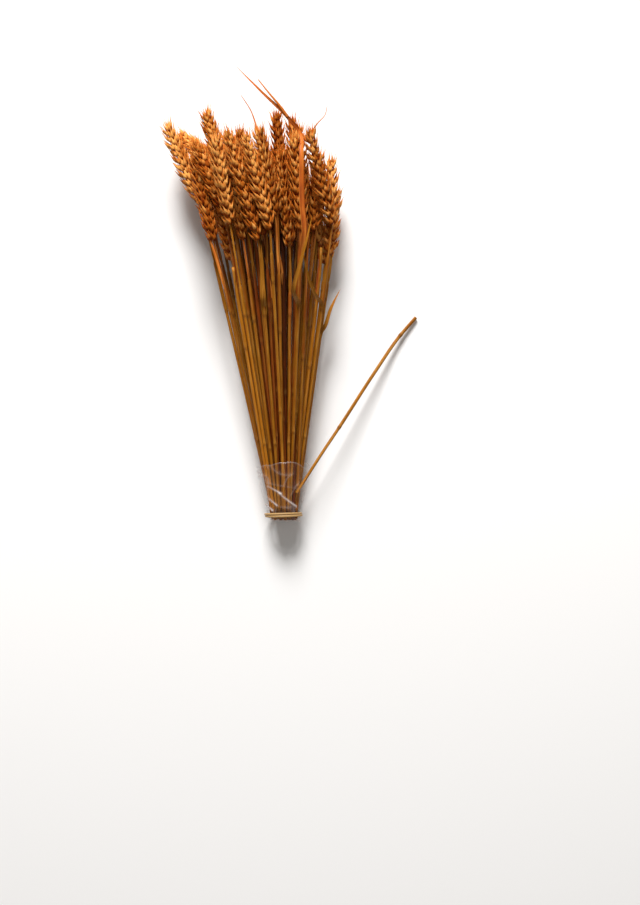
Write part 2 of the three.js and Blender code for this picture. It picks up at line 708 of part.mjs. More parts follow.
// The room under the surface, which is cut from what would reach into it
function groundSolid() {
  const block = new THREE.BoxGeometry(600, 900, 40).translate(0, 200, -20);
  block.deleteAttribute("normal");
  block.deleteAttribute("uv");
  const merged = mergeVertices(block);
  const vertProperties = merged.attributes.position.array;
  const triVerts = new Uint32Array(merged.index.array);
  return new wasm.Manifold(new wasm.Mesh({ numProp: 3, vertProperties, triVerts }));
}

// A three.js mesh from a manifold solid
function meshOf(solid, name, material) {
  const made = solid.getMesh();
  const geometry = new THREE.BufferGeometry();
  const positions = new Float32Array(made.numVert * 3);
  for (let i = 0; i < made.numVert; i++) {
    positions.set(made.vertProperties.subarray(i * made.numProp, i * made.numProp + 3), i * 3);
  }
  geometry.setAttribute("position", new THREE.BufferAttribute(positions, 3));
  geometry.setIndex(new THREE.BufferAttribute(made.triVerts, 1));
  const mesh = new THREE.Mesh(geometry, material);
  mesh.name = name;
  return mesh;
}

const wheat = new THREE.MeshStandardMaterial({ color: 0xc58a3c, roughness: 0.75 });
const straw = new THREE.MeshStandardMaterial({ color: 0xb08a45, roughness: 0.6 });
const film = new THREE.MeshStandardMaterial({
  color: 0xe8dcd4,
  roughness: 0.15,
  transparent: true,
  opacity: 0.35,
});
const rubber = new THREE.MeshStandardMaterial({ color: 0xd8b070, roughness: 0.7 });

const group = new THREE.Group();
const ground = groundSolid();
const random = randomSource(21);
const stalks = layOut();
for (const stalk of stalks) {
  stalk.foot = stalk.bends.at(-2);
  stalk.tip = stalk.bends.at(-1);
  stalk.cut = CUT_LEVEL + 3 * (random() - 0.5);
  const knot = lerp(KNOTS_FROM, KNOTS_TO, random()) - (stalk.bare ? BARE_KNOT_DROP : 0);
  stalk.knot = Math.min(knot, stalk.foot[1] - KNOT_UNDER_EAR);
}
stalks.forEach((stalk, i) => {
  const grown = [
    ...(stalk.bare ? [] : earSolids(stalk)),
    ...LEAVES.filter((leaf) => leaf.stalk === i + 1).flatMap((leaf) => leafSolids(stalks, leaf)),
    ...AWNS.filter((awn) => awn.stalk === i + 1).map((awn) => thinStrip(awnRoot(stalk), awn)),
  ];
  let solid = culmSolid(stalk);
  for (const part of grown) solid = solid.add(part);
  const number = stalk.bare ? i + 1 - stalks.length + BARE_STRAWS.length : i + 1;
  const name = stalk.bare ? `bare_straw_${number}` : `stalk_${String(number).padStart(2, "0")}`;
  group.add(meshOf(solid.subtract(ground), name, stalk.bare ? straw : wheat));
});
group.add(meshOf(strawSolid(), "broken_straw", straw));
group.add(meshOf(filmSolid(), "film_sleeve", film));
group.add(meshOf(bandSolid().subtract(ground), "rubber_band", rubber));

export default group;
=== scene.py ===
"""A bundle of dried wheat that lies on a table: grown stalks with their ears and leaves, one broken straw,
and a film sleeve with a rubber band round the cut ends.

Shapes are worked out in millimetres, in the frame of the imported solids, and go into the meshes in metres. The
bundle lies along Y with its ears towards +Y, and z = 0 is the surface under it."""

import math

import bpy
import numpy as np
from bpy.props import FloatProperty, FloatVectorProperty, IntProperty, PointerProperty
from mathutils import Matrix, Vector


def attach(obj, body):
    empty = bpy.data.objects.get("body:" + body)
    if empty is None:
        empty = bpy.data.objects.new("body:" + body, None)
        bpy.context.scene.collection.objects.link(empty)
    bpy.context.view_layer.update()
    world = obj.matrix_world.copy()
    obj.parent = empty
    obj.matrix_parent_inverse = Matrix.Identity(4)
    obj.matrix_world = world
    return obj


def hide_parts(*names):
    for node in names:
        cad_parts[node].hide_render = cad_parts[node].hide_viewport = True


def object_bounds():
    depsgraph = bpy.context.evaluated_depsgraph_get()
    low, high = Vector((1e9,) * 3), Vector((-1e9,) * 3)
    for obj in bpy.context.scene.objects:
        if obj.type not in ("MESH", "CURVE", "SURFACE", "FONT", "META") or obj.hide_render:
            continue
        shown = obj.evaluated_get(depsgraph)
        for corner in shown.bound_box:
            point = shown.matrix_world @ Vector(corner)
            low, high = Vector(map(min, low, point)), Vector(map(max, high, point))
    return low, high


bl_info = {
    "name": "Bundle of Dried Wheat",
    "version": (1, 0, 0),
    "blender": (4, 5, 0),
    "location": "View3D > Sidebar > Wheat",
    "description": "Builds a lying bundle of dried wheat in a film sleeve",
    "category": "Add Mesh",
}

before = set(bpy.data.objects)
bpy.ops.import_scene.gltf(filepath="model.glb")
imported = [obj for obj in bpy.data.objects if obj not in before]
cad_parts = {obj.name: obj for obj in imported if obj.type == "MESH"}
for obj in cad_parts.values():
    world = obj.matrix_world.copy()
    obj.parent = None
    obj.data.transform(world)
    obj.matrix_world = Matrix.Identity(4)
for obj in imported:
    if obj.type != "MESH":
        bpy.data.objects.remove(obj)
CAD_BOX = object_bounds()
BODY = "root"
MM = 0.001
CHAFF, STRAW, BLADE = range(3)  # the finishes of a stalk's surfaces
PLACE_UNIT = 10  # a place along a straw counts in these from its upper knot

# Sizes of a stalk, which its solid has too
CULM_RADIUS = 1.5
SHEATH_RADIUS = 1.95
KNOT_SPACING = 128  # from the lower knot to the upper one
KNOT_UNDER_EAR = 26
KNOTS_FROM, KNOTS_TO = 180, 236
EAR_HALF_WIDTH = 9.4
EAR_HALF_DEPTH = 5.5
EAR_LENGTH = 86
SLIM_END = 0.62
TINTS, SHEATHS, AWN_GROWTHS = (0.32, 0.66), (0.3, 0.7), (0.6, 1.2)  # what stalks get at random, from and to
PAINTED_LIGHT_FROM_TO = (5, 32)  # x of the ears' tips, between which the stalks are painted paler to the right, as painted light on that side
DEPTH_UNDER_KNOT = 60  # where it is seen how deep a stalk lies in the bundle, which darkens deep stalks as painted shade
BLADE_LIFTS, BLADE_SWAYS, BLADE_WIDTHS, BLADE_TINTS = (0.4, 2.5), (0.3, 1.4), (1.6, 3.2), (0.3, 0.8)
LEAF_TIP = 0.8
LEAF_TAPER = 3
LEAF_SOLID = 0.8
LEAF_LIFT = 1
COVER_MARGIN = 1.2

# The bundle's cross-section, at the band and at the level of the ears
CUT_LEVEL, CUT_SCATTER = -4.6, 3
TIE_HALF_WIDTH = 14
TIE_HALF_HEIGHT = 12.6
SPREAD_X = 0.17
SPREAD_Z = 0.118
HEAD_LEVEL = 330
HEAD_LEAN = 24
LEAN_POWER = 2.6
REST_AT_TIE = 4.8
REST_AT_HEAD = 3

# Ears on the upper side: x and y of the foot, x and y of the tip, depth under the upper outline, and turn
UPPER_EARS = np.array([
    [-83, 315, -118, 393, 19, 0.2],
    [-69, 297, -92, 371, 48, -0.5],
    [-53, 298, -83, 372, 18, -0.5],
    [-59, 331, -79, 401, 25, -0.4],
    [-43, 255, -68, 341, 24, -0.6],
    [-51, 288, -67, 375, 0, -0.6],
    [-23, 272, -55, 380, 0, -0.6],
    [-9, 282, -34, 376, 0, -0.6],
    [17, 281, 9, 376, 0, -0.5],
    [-11, 296, -31, 382, 5, 0.6],
    [30, 283, 38, 363, 24, -0.5],
    [48, 291, 24, 383, 2, -0.3],
    [47, 261, 45, 360, 14, -0.3],
    [41, 253, 53, 330, 29, -0.8],
    [0, 316, -9, 403, 44, 0.4],
    [17, 315, 8, 400, 60, -0.6],
    [19, 300, 12, 388, 26, 0.5],
    [-30, 299, -44, 383, 28, 0.8],
])
NODDING_FOOT, NODDING_TIP, NODDING_TURN = (-58, 342, 68), (-110, 384, 33), 0.3
INNER_EARS = 27
INNER_SPREAD_X, INNER_SPREAD_Z = 0.85, 0.95
INNER_MIDDLE = (0.03, -0.12)
INNER_FOOT_LEVEL = 291
INNER_FOOT_FALL = 22
INNER_FOOT_SLOPE = 15
INNER_SCATTER = 24
INNER_SHORTEST, INNER_VARIETY = 0.9, 0.22  # lengths of the inner ears, as shares of EAR_LENGTH
TURN_SCATTER = 0.9
# Straws without ears: x and y of the top end, and depth under the upper outline
BARE_STRAWS = np.array([
    [-48, 246, 2],
    [-36, 292, 32],
    [-17, 276, 23],
    [-2, 280, 34],
    [15, 284, 20],
    [24, 292, 24],
    [38, 268, 24],
    [-5, 270, 69],
])
BARE_END = 20
BARE_KNOT_DROP = 60
FEET_SEED, CUTS_SEED, STALK_SEED = 7, 21, 100

# The settling of the stalks between each other
BEND_LEVELS = np.array([0.0, 46.0, 122.0, 220.0])
FOOT, TIP = 4, 5  # the bends after those at BEND_LEVELS
NO_BEND_UNDER_EAR = 14
LEVEL_STEP = 8.0
LEVELS = LEVEL_STEP * np.arange(53)
ROUNDS = 700
STALK_GAP = 0.4
UPPER_GIVE, NODDING_GIVE = 0.25, 0.1  # how easily such ears give way, where the others have 1
EAR_MARGIN, NODDING_MARGIN = 2, 7
NODDING_SLANT, NODDING_FULLNESS = 1.5, 0.8
EAR_REST = 0.4  # the share of an ear's length where it rests on the surface
HOME_PULL = 0.01
STRAIGHTENING = 0.03
DRAW_TOGETHER = (0.012, 0.002)
SAG = 0.1
PRESSED_FLAT = 0.5
LOWEST_BEND = 2.2

# Leaves: stalk, level where the leaf leaves it, greatest width, finish and way; z is left out where the leaf
# lies on the stalks. The first is torn near its end, so a narrow strip leaves it there.
LEAVES = [
    (9, 248, 4.8, BLADE, [(21.5, 280), (19.5, 306), (19, 332), (19, 358), (17.5, 378, 90), (5.5, 392, 94),
                          (-21, 417.5, 95), (-45, 442, 90)]),
    (9, 200, 3.6, STRAW, [(11, 222, 84), (18, 250, 90), (24, 272, 94), (29, 294, 94)]),
    (12, 202, 3.4, STRAW, [(32, 220, 56), (26, 236, 66), (20, 263, 76)]),
    (7, 198, 5.4, STRAW, [(-19, 214), (-20, 238), (-21, 266)]),
    (13, 176, 3.4, STRAW, [(42, 190, 35), (47, 205, 37), (57, 226, 35)]),
]
TORN_STRIP = [(-3, 403.5, 97), (-12, 414, 98), (-23.5, 428.5, 96)]  # and it starts at a leaf's point
TORN_AFTER, TORN_WIDTH = 7, 3.0
# Long awns: stalk, width and way
AWNS = [
    (12, 1.5, [(35, 387, 90), (42, 395, 90), (44, 403, 90)]),
    (10, 1.8, [(-31, 398, 100), (-40, 412, 102)]),
]
AWN_ROOT = 7  # below the ear's tip

# Film sleeve, rubber band and broken straw
FILM_FROM, FILM_TO = -7, 51
FILM_WALL = 0.8
FILM_SLACK = 0.9
FILM_HOOPS, FILM_POINTS = 56, 200
POCKET_DEPTH, POCKET_ANGLE, POCKET_WIDTH = 5.6, 0.5, 0.55
POCKET_DIP, POCKET_DIP_ANGLE, POCKET_DIP_WIDTH = 18, 0.35, 0.4
FILM_SLANT = 3
FLARE = 2.2
BAND_THICKNESS = 1.6
BAND_GAP = 0.5
STRAW_WAY = [
    (13, 21, 29.5), (38.5, 61, 25.6), (56.5, 88, 21), (92, 143, 12), (119, 182, 5), (134.6, 200, 2.3)]
STRAW_KNOTS = (88, 182)
STRAW_RADIUS = 1.6


def random_source(seed):
    """Repeatable numbers from 0 to 1: a 32-bit counter, stirred by shifts, exclusive ors and products."""
    state, mask = seed, 0xFFFFFFFF

    def draw():
        nonlocal state
        state = (state + 0x6D2B79F5) & mask
        mixed = ((state ^ (state >> 15)) * (1 | state)) & mask
        mixed = ((mixed + (mixed ^ (mixed >> 7)) * (61 | mixed)) & mask) ^ mixed
        return ((mixed ^ (mixed >> 14)) & mask) / (mask + 1)

    return draw


def mix(a, b, share):
    """a + (b - a) * share."""
    return a + (b - a) * share


def unit(vectors):
    """Each vector divided by its length."""
    return vectors / np.linalg.norm(vectors, axis=-1, keepdims=True)


def bump(value, middle, width):
    """exp(-((value - middle) / width) ** 2): 1 at the middle, and close to 0 two widths away."""
    return np.exp(-(((value - middle) / width) ** 2))


def angles(count):
    """Angles once round, evenly spaced from 0."""
    return 2 * math.pi * np.arange(count) / count


def smooth_step(value, low, high):
    """3 t^2 - 2 t^3, with t the share of the way from low to high, kept from 0 to 1."""
    t = np.clip((value - low) / (high - low), 0, 1)
    return t * t * (3 - 2 * t)


def section(y):
    """Middle and half sizes of the bundle's oval cross-section at a level: both halves grow evenly with the
    level, and the middle leans to the left by a power of it."""
    level = np.maximum(y, 0.0)
    share = level / HEAD_LEVEL
    half_height = TIE_HALF_HEIGHT + SPREAD_Z * level
    middle = -HEAD_LEAN * share**LEAN_POWER, mix(REST_AT_TIE, REST_AT_HEAD, share) + half_height
    return middle[0], middle[1], TIE_HALF_WIDTH + SPREAD_X * level, half_height


def on_upper_outline(x, y, sink):
    """The point of the oval's upper half over x, lowered by sink: z = middle + half height sqrt(1 - u^2)."""
    x_middle, z_middle, half_width, half_height = section(y)
    u = np.clip((x - x_middle) / half_width, -0.98, 0.98)
    return np.stack([x, y, z_middle + half_height * np.sqrt(1 - u * u) - sink], axis=-1)


def to_disc(points):
    """How many half widths and half heights points are from the oval's middle at their levels."""
    x_middle, z_middle, half_width, half_height = section(points[:, 1])
    return (points[:, 0] - x_middle) / half_width, (points[:, 2] - z_middle) / half_height


def from_disc(u, v, y):
    """The point u half widths and v half heights from the oval's middle at level y."""
    x_middle, z_middle, half_width, half_height = section(y)
    return np.stack([x_middle + half_width * u, y + 0 * u, z_middle + half_height * v], axis=-1)


def ear_fullness(along):
    """From SLIM_END at both ends up to 1, as a sine of along^0.75, so the fullest place is low."""
    return SLIM_END + (1 - SLIM_END) * np.sin(math.pi * np.clip(along, 0, 1) ** 0.75)


def seed_stalks():
    """Feet and tips of the ears, their turns, and how easily each stalk gives way. The upper ones lie on the
    outline, and the inner ones fill the oval in a spiral of golden angles."""
    x, y, tip_x, tip_y, sink, turn = UPPER_EARS.T
    draw = random_source(FEET_SEED)
    number = np.arange(INNER_EARS)
    drawn = np.array([[draw(), draw(), draw()] for _ in number])
    radius = np.sqrt((number + 0.5) / INNER_EARS)
    golden = number * math.pi * (3 - math.sqrt(5))
    u = INNER_MIDDLE[0] + INNER_SPREAD_X * radius * np.cos(golden)
    v = INNER_MIDDLE[1] + INNER_SPREAD_Z * radius * np.sin(golden)
    inner_foot = INNER_FOOT_LEVEL - (INNER_FOOT_FALL * radius**2 + INNER_FOOT_SLOPE * u)
    inner_foot = inner_foot + INNER_SCATTER * (drawn[:, 0] - 0.5)
    inner_tip = inner_foot + EAR_LENGTH * (INNER_SHORTEST + INNER_VARIETY * drawn[:, 1])
    bare_tip = on_upper_outline(*BARE_STRAWS.T)
    bare_foot = from_disc(*to_disc(bare_tip), bare_tip[:, 1] - BARE_END)
    foot = [on_upper_outline(x, y, sink), [NODDING_FOOT], from_disc(u, v, inner_foot), bare_foot]
    tip = [on_upper_outline(tip_x, tip_y, sink), [NODDING_TIP], from_disc(u, v, inner_tip), bare_tip]
    inner_turn = np.arctan2(-v, u) + math.pi / 2 + TURN_SCATTER * (drawn[:, 2] - 0.5)
    turn = np.concatenate([turn, [NODDING_TURN], inner_turn, np.zeros(len(BARE_STRAWS))])
    inside = np.ones(INNER_EARS + len(BARE_STRAWS))
    give = np.concatenate([np.full(len(x), UPPER_GIVE), [NODDING_GIVE], inside])
    return np.concatenate(foot), np.concatenate(tip), turn, give


def is_bare(stalks):
    """Which of all stalks have no ear: the last ones."""
    return np.arange(len(stalks)) >= len(stalks) - len(BARE_STRAWS)


def rooms(foot, tip, turn, y):
    """Half width, half depth and turn of the ellipse that each stalk takes at levels y, and whether it is
    there at all. An ear that nods is cut at a slant, so its ellipse is long in the direction of its lean."""
    lean = (tip - foot)[:, [0, 2]] / (tip - foot)[:, 1:2]
    slant = np.sqrt(1 + (lean**2).sum(1))[:, None]
    nods = slant > NODDING_SLANT
    margin = np.where(nods, NODDING_MARGIN, EAR_MARGIN)
    low, high = foot[:, 1:2], tip[:, 1:2]
    fullness = ear_fullness((y - low) / (high - low))
    nodding = NODDING_FULLNESS * EAR_HALF_WIDTH * fullness
    half_width = np.where(nods, nodding * slant, EAR_HALF_WIDTH * fullness)
    half_depth = np.where(nods, nodding, EAR_HALF_DEPTH * fullness)
    turned = np.where(nods, np.arctan2(lean[:, 1:2], lean[:, 0:1]), turn[:, None]) + 0 * y
    bare = is_bare(foot)[:, None]
    culm = np.where(y > KNOTS_FROM - BARE_KNOT_DROP * bare, SHEATH_RADIUS, CULM_RADIUS)
    in_culm = bare | (y < low - margin)
    half_width, half_depth = np.where(in_culm, culm, half_width), np.where(in_culm, culm, half_depth)
    return half_width, half_depth, np.where(in_culm, 0, turned), y <= high + margin


def reach(half_width, half_depth, turn, dx, dz):
    """How far a turned ellipse reaches along the vector dx, dz, times the length of that vector."""
    cos, sin = np.cos(turn), np.sin(turn)
    along, across = half_width * (dx * cos + dz * sin), half_depth * (dz * cos - dx * sin)
    return np.sqrt(along * along + across * across)


class Layout:
    """The lines of all stalks. Each line has bends at fixed levels, at the ear's foot and at its tip. Stalks
    that come too close push each other apart in many rounds, while each is drawn weakly to its own place,
    kept straight and held off the surface."""

    def __init__(self):
        foot, tip, self.turn, self.give = seed_stalks()
        low = [from_disc(*to_disc(foot), y) for y in BEND_LEVELS]
        self.bends = np.stack([*low, foot, tip], axis=1)
        self.kept = np.ones(self.bends.shape[:2], bool)
        self.kept[:, :FOOT] = BEND_LEVELS < foot[:, 1:2] - NO_BEND_UNDER_EAR
        self.weights = self.share_of_bends()
        self.rooms = rooms(foot, tip, self.turn, LEVELS)
        width, depth, turn, _ = rooms(foot, tip, self.turn, mix(foot[:, 1:2], tip[:, 1:2], EAR_REST))
        pressed = reach(width, depth, turn, 0, 1)[:, 0] - PRESSED_FLAT
        self.ear_floor = np.where(is_bare(foot), LOWEST_BEND, pressed)
        there = self.rooms[3][:, None] & self.rooms[3] & ~np.eye(len(foot), dtype=bool)[:, :, None]
        self.share = there * (self.give[:, None] / (self.give[:, None] + self.give))[:, :, None]
        self.home = self.bends.copy()
        for k in range(ROUNDS):
            self.move_bends(*self.push_apart(), 1 - k / ROUNDS)
        self.places = np.einsum("slb,sbc->slc", self.weights, self.bends)

    def share_of_bends(self):
        """How much of each bend is in a stalk's place at each level: hat functions between its bends."""
        weights = np.zeros((len(self.bends), len(LEVELS), TIP + 1))
        for stalk, kept in enumerate(self.kept):
            slots = np.flatnonzero(kept)
            for slot, hat in zip(slots, np.eye(len(slots))):
                weights[stalk, :, slot] = np.interp(LEVELS, self.bends[stalk, slots, 1], hat)
        return weights

    def push_apart(self):
        """For each pair at each level, the lack of room is the sum of both reaches and the gap less their
        distance. Both are pushed by it in opposite directions, shared by how easily they give way."""
        x, z = (np.einsum("slb,sb->sl", self.weights, self.bends[:, :, c]) for c in (0, 2))
        dx, dz = x - x[:, None], z - z[:, None]
        distance = np.maximum(np.sqrt(dx * dx + dz * dz), 1e-6)
        width, depth, turn, _ = (table[:, None] for table in self.rooms)
        own = reach(width, depth, turn, dx, dz) / distance
        push = np.maximum(own + own.transpose(1, 0, 2) + STALK_GAP - distance, 0) * self.share / distance
        push = np.stack([-(push * dx).sum(1), -(push * dz).sum(1)], axis=-1)
        pushed = (push != 0).any(-1)
        return np.einsum("slb,slc->sbc", self.weights, push), np.einsum("slb,sl->sb", self.weights, pushed)

    def move_bends(self, push, weight, looseness):
        """Each bend moves by the mean of the pushes beside it, then home, towards the straight line between
        its neighbours and, near the band, towards the middle and into the oval."""
        bends, pull = self.bends, HOME_PULL * looseness
        for slot in range(TIP + 1):
            here = np.flatnonzero(self.kept[:, slot])
            at = bends[here, slot]
            flat = at[:, [0, 2]] + push[here, slot] / np.maximum(weight[here, slot], 0.5)[:, None]
            flat += pull * (self.home[here, slot][:, [0, 2]] - flat)
            if 0 < slot < FOOT:
                after = np.where(self.kept[here, slot + 1], slot + 1, FOOT)
                before, after = bends[here, slot - 1], bends[here, after]
                share = (at[:, 1] - before[:, 1]) / (after[:, 1] - before[:, 1])
                straight = mix(before, after, share[:, None])[:, [0, 2]]
                flat += STRAIGHTENING * (straight - flat)
            if slot < len(DRAW_TOGETHER):
                x_middle, z_middle, half_width, half_height = section(at[:, 1])
                middle, half = np.stack([x_middle, z_middle], 1), np.stack([half_width, half_height], 1)
                flat += DRAW_TOGETHER[slot] * looseness * (middle - flat)
                out = np.linalg.norm((flat - middle) / half, axis=1, keepdims=True)
                flat = middle + (flat - middle) / np.maximum(out, 1)
            floor = REST_AT_TIE if slot == 0 else LOWEST_BEND
            if slot >= FOOT:
                flat[:, 1] -= np.where(is_bare(bends), 0, SAG * looseness)
                floor = self.ear_floor
            bends[here, slot, 0], bends[here, slot, 2] = flat[:, 0], np.maximum(flat[:, 1], floor)

    def cover_at(self, x, y):
        """Height of the topmost stalk over a point: for each ellipse at that level, with a margin, the upper
        side of the turned ellipse over the point."""
        level = int(round(y / LEVEL_STEP))
        width, depth, turn, there = (table[:, level] for table in self.rooms)
        a, b = width + COVER_MARGIN, depth + COVER_MARGIN
        cos, sin = np.cos(turn), np.sin(turn)
        across = x - self.places[:, level, 0]
        span = (a * cos) ** 2 + (b * sin) ** 2
        root = np.sqrt(np.maximum(span - across**2, 0))
        top = self.places[:, level, 2] + ((a * a - b * b) * sin * cos * across + a * b * root) / span
        return top[there & (across**2 < span)].max(initial=0.0)


class Stalk:
    """One stalk: the bends of its line, the turn of its ear, the levels of its cut end and its knot, how deep
    it lies in the bundle, which darkens its ear and straw as painted shade, and what its random source gives
    it: its tint, to which painted light adds paleness towards the right, its sheath's end and how its awns have
    grown."""

    def __init__(self, number, layout, cut, knot, bare):
        self.number, self.turn, self.cut, self.bare = number, layout.turn[number - 1], cut, bare
        bends = layout.bends[number - 1][layout.kept[number - 1]]
        self.foot, self.tip = bends[-2], bends[-1]
        self.knot = min(knot - BARE_KNOT_DROP * bare, self.foot[1] - KNOT_UNDER_EAR)
        self.knots = np.stack([2 * bends[0] - bends[1], *bends, 2 * bends[-1] - bends[-2]])
        self.random = np.random.default_rng(STALK_SEED + number)
        tint, sheathed, self.awned = (self.random.uniform(*ends) for ends in (TINTS, SHEATHS, AWN_GROWTHS))
        # Painted light: stalks whose ears lie to the right are paler.
        self.tint = tint + 0.2 * smooth_step(self.tip[0], *PAINTED_LIGHT_FROM_TO)
        self.collar = mix(self.knot, self.tip[1] if bare else self.foot[1], sheathed)
        u, v = to_disc(self.line(self.knot - DEPTH_UNDER_KNOT))
        # Painted shade: 1 at the oval's middle, 0 at its outline and outside; deep stalks are darkened by it.
        self.depth = max(1 - math.hypot(u[0], v[0]), 0)

    def line(self, y, blend=9.0):
        """Points of the line at levels y: the mean of the straight line from bend to bend over the levels
        from y - blend to y + blend, which rounds each bend."""
        y = np.atleast_1d(np.asarray(y, float))
        near = y[:, None] + np.linspace(-blend, blend, 13)
        x, z = (np.interp(near, self.knots[:, 1], self.knots[:, c]).mean(1) for c in (0, 2))
        return np.stack([x, y, z], axis=1)

    def side(self, along):
        """The direction from row to row of the ear's spikelets, square to each of the directions along."""
        side = np.array([math.cos(self.turn), 0.0, math.sin(self.turn)])
        return unit(side - (along @ side)[..., None] * along)


def grow_stalks(layout):
    """All stalks, each with its cut end near CUT_LEVEL and its knot at a level of its own."""
    draw = random_source(CUTS_SEED)
    stalks = []
    for i, bare in enumerate(is_bare(layout.turn)):
        cut, knot = CUT_LEVEL + CUT_SCATTER * (draw() - 0.5), mix(KNOTS_FROM, KNOTS_TO, draw())
        stalks.append(Stalk(i + 1, layout, cut, knot, bare))
    return stalks


def in_scene(name, data):
    """A new object of the scene, for a mesh, a lamp or a camera."""
    made = bpy.data.objects.new(name, data)
    bpy.context.scene.collection.objects.link(made)
    return made


def corners(*numbers):
    """One row for each face, with a number for each of its corners."""
    return np.stack(np.broadcast_arrays(*numbers), axis=-1).reshape(-1, len(numbers))


class Surfaces:
    """Gathers the closed surfaces of one piece: points, faces, the place of each face corner on its surface,
    the number of its finish, and a tint for each point."""

    def __init__(self):
        self.parts, self.count = [], 0

    def add(self, points, tints, faces, places, finish):
        """points: P x 3, tints: P, faces: F x 4, where a triangle has its first or last corner twice, places:
        F x 4 x 2."""
        self.parts.append((points, tints, faces + self.count, places, np.full(len(faces), finish)))
        self.count += len(points)

    def add_lofts(self, rings, start, end, along, tint, finish):
        """Closed surfaces through rings, N x R x S x 3, with a pole at either end, N x 3. A place is the
        share of the way round and, of the R + 2 numbers in along, that of its ring or pole."""
        n, r, s, _ = rings.shape
        points = np.concatenate([start[:, None], rings.reshape(n, r * s, 3), end[:, None]], axis=1)
        here, after = np.arange(s), (np.arange(s) + 1) % s
        row = 1 + s * np.arange(r - 1)[:, None]
        last, pole = 1 + s * (r - 1), r * s + 1
        faces = np.concatenate([
            corners(row + here, row + after, row + s + after, row + s + here),
            corners(0, 0, 1 + after, 1 + here),
            corners(last + here, last + after, pole, pole),
        ])
        level = np.concatenate([[0], np.repeat(np.arange(1, r + 1), s), [r + 1]])[faces]
        u0, u1 = here / s, (here + 1) / s
        middle = (u0 + u1) / 2
        walls = [corners(u0, u1, u1, u0)] * (r - 1)
        around = np.concatenate([*walls, corners(middle, middle, u1, u0), corners(u0, u1, middle, middle)])
        places = np.tile(np.stack([around, np.asarray(along)[level]], axis=-1), (n, 1, 1))
        faces = faces + (r * s + 2) * np.arange(n)[:, None, None]
        tint = np.repeat(np.broadcast_to(tint, n), r * s + 2)
        self.add(points.reshape(-1, 3), tint, faces.reshape(-1, 4), places, finish)

    def add_hoops(self, hoops, tint):
        """One surface closed both ways, H x S x 3: each hoop goes round, and the last one joins the first."""
        h, s, _ = hoops.shape
        here, after = np.arange(s), (np.arange(s) + 1) % s
        row, below = s * np.arange(h)[:, None], s * ((np.arange(h) + 1) % h)[:, None]
        faces = corners(row + here, row + after, below + after, below + here)
        along = np.linspace(0, 1, h + 1)[:, None]
        around = corners(here / s + 0 * row, (here + 1) / s, (here + 1) / s, here / s)
        level = corners(along[:-1] + 0 * here, along[:-1], along[1:], along[1:])
        self.add(hoops.reshape(-1, 3), np.ravel(tint), faces, np.stack([around, level], axis=-1), 0)

    def object(self, name, *materials):
        """A Blender object in metres, smooth, with a UV map of the places and the tints as an attribute."""
        points, tints, faces, places, finishes = map(np.concatenate, zip(*self.parts))
        points[:, 2] = np.maximum(points[:, 2], 0)
        kept = np.ones(faces.shape, bool)
        kept[:, 1] = faces[:, 0] != faces[:, 1]
        kept[:, 3] = faces[:, 2] != faces[:, 3]
        mesh = bpy.data.meshes.new(name)
        mesh.vertices.add(len(points))
        mesh.vertices.foreach_set("co", (MM * points).astype(np.float32).ravel())
        mesh.loops.add(kept.sum())
        mesh.loops.foreach_set("vertex_index", faces[kept].astype(np.int32))
        sizes = kept.sum(1)
        mesh.polygons.add(len(faces))
        mesh.polygons.foreach_set("loop_start", (np.cumsum(sizes) - sizes).astype(np.int32))
        mesh.polygons.foreach_set("material_index", finishes.astype(np.int32))
        mesh.polygons.foreach_set("use_smooth", np.ones(len(faces), bool))
        uv = mesh.uv_layers.new(name="places")
        uv.data.foreach_set("uv", places[kept].astype(np.float32).ravel())
        tint = mesh.attributes.new("tint", "FLOAT", "POINT")
        tint.data.foreach_set("value", tints.astype(np.float32))
        mesh.update(calc_edges=True)
        mesh.validate()
        for material in materials:
            mesh.materials.append(material)
        return in_scene(name, mesh)


def smooth_path(way, count):
    """count points, evenly spaced, on a cubic curve through the points of way: its tangent at each is the
    mean slope of the way on both sides."""
    way = np.asarray(way, float)
    length = np.concatenate([[0], np.cumsum(np.linalg.norm(np.diff(way, axis=0), axis=1))])
    slope = np.gradient(way, length, axis=0)
    at = np.linspace(0, length[-1], count)
    i = np.clip(np.searchsorted(length, at, side="right") - 1, 0, len(way) - 2)
    h = (length[i + 1] - length[i])[:, None]
    t = (at - length[i])[:, None] / h
    rest = 1 - t
    ends = rest**2 * (1 + 2 * t) * way[i] + t**2 * (3 - 2 * t) * way[i + 1]
    return ends + h * (t * rest**2 * slope[i] - t**2 * rest * slope[i + 1])


def tube_rings(path, sides, radius_up, radius_side, side=None):
    """Ovals round the points of a path: middle + radius_up cos(a) up + radius_side sin(a) side, with up and
    side across the path. Without a side, it is level."""
    along = unit(np.gradient(path, axis=0))
    side = unit(np.cross(along, [0.0, 0.0, 1.0])) if side is None else side
    up = np.cross(side, along)
    angle = angles(sides)
    ovals = np.cos(angle)[:, None] * up[:, None] * np.reshape(radius_up, (-1, 1, 1))
    ovals = ovals + np.sin(angle)[:, None] * side[:, None] * np.reshape(radius_side, (-1, 1, 1))
    return path[:, None] + ovals


def beyond(path, distance):
    """The point that lies distance further than the last one of a path."""
    return path[-1:] + unit(path[-1:] - path[-2:-1]) * distance


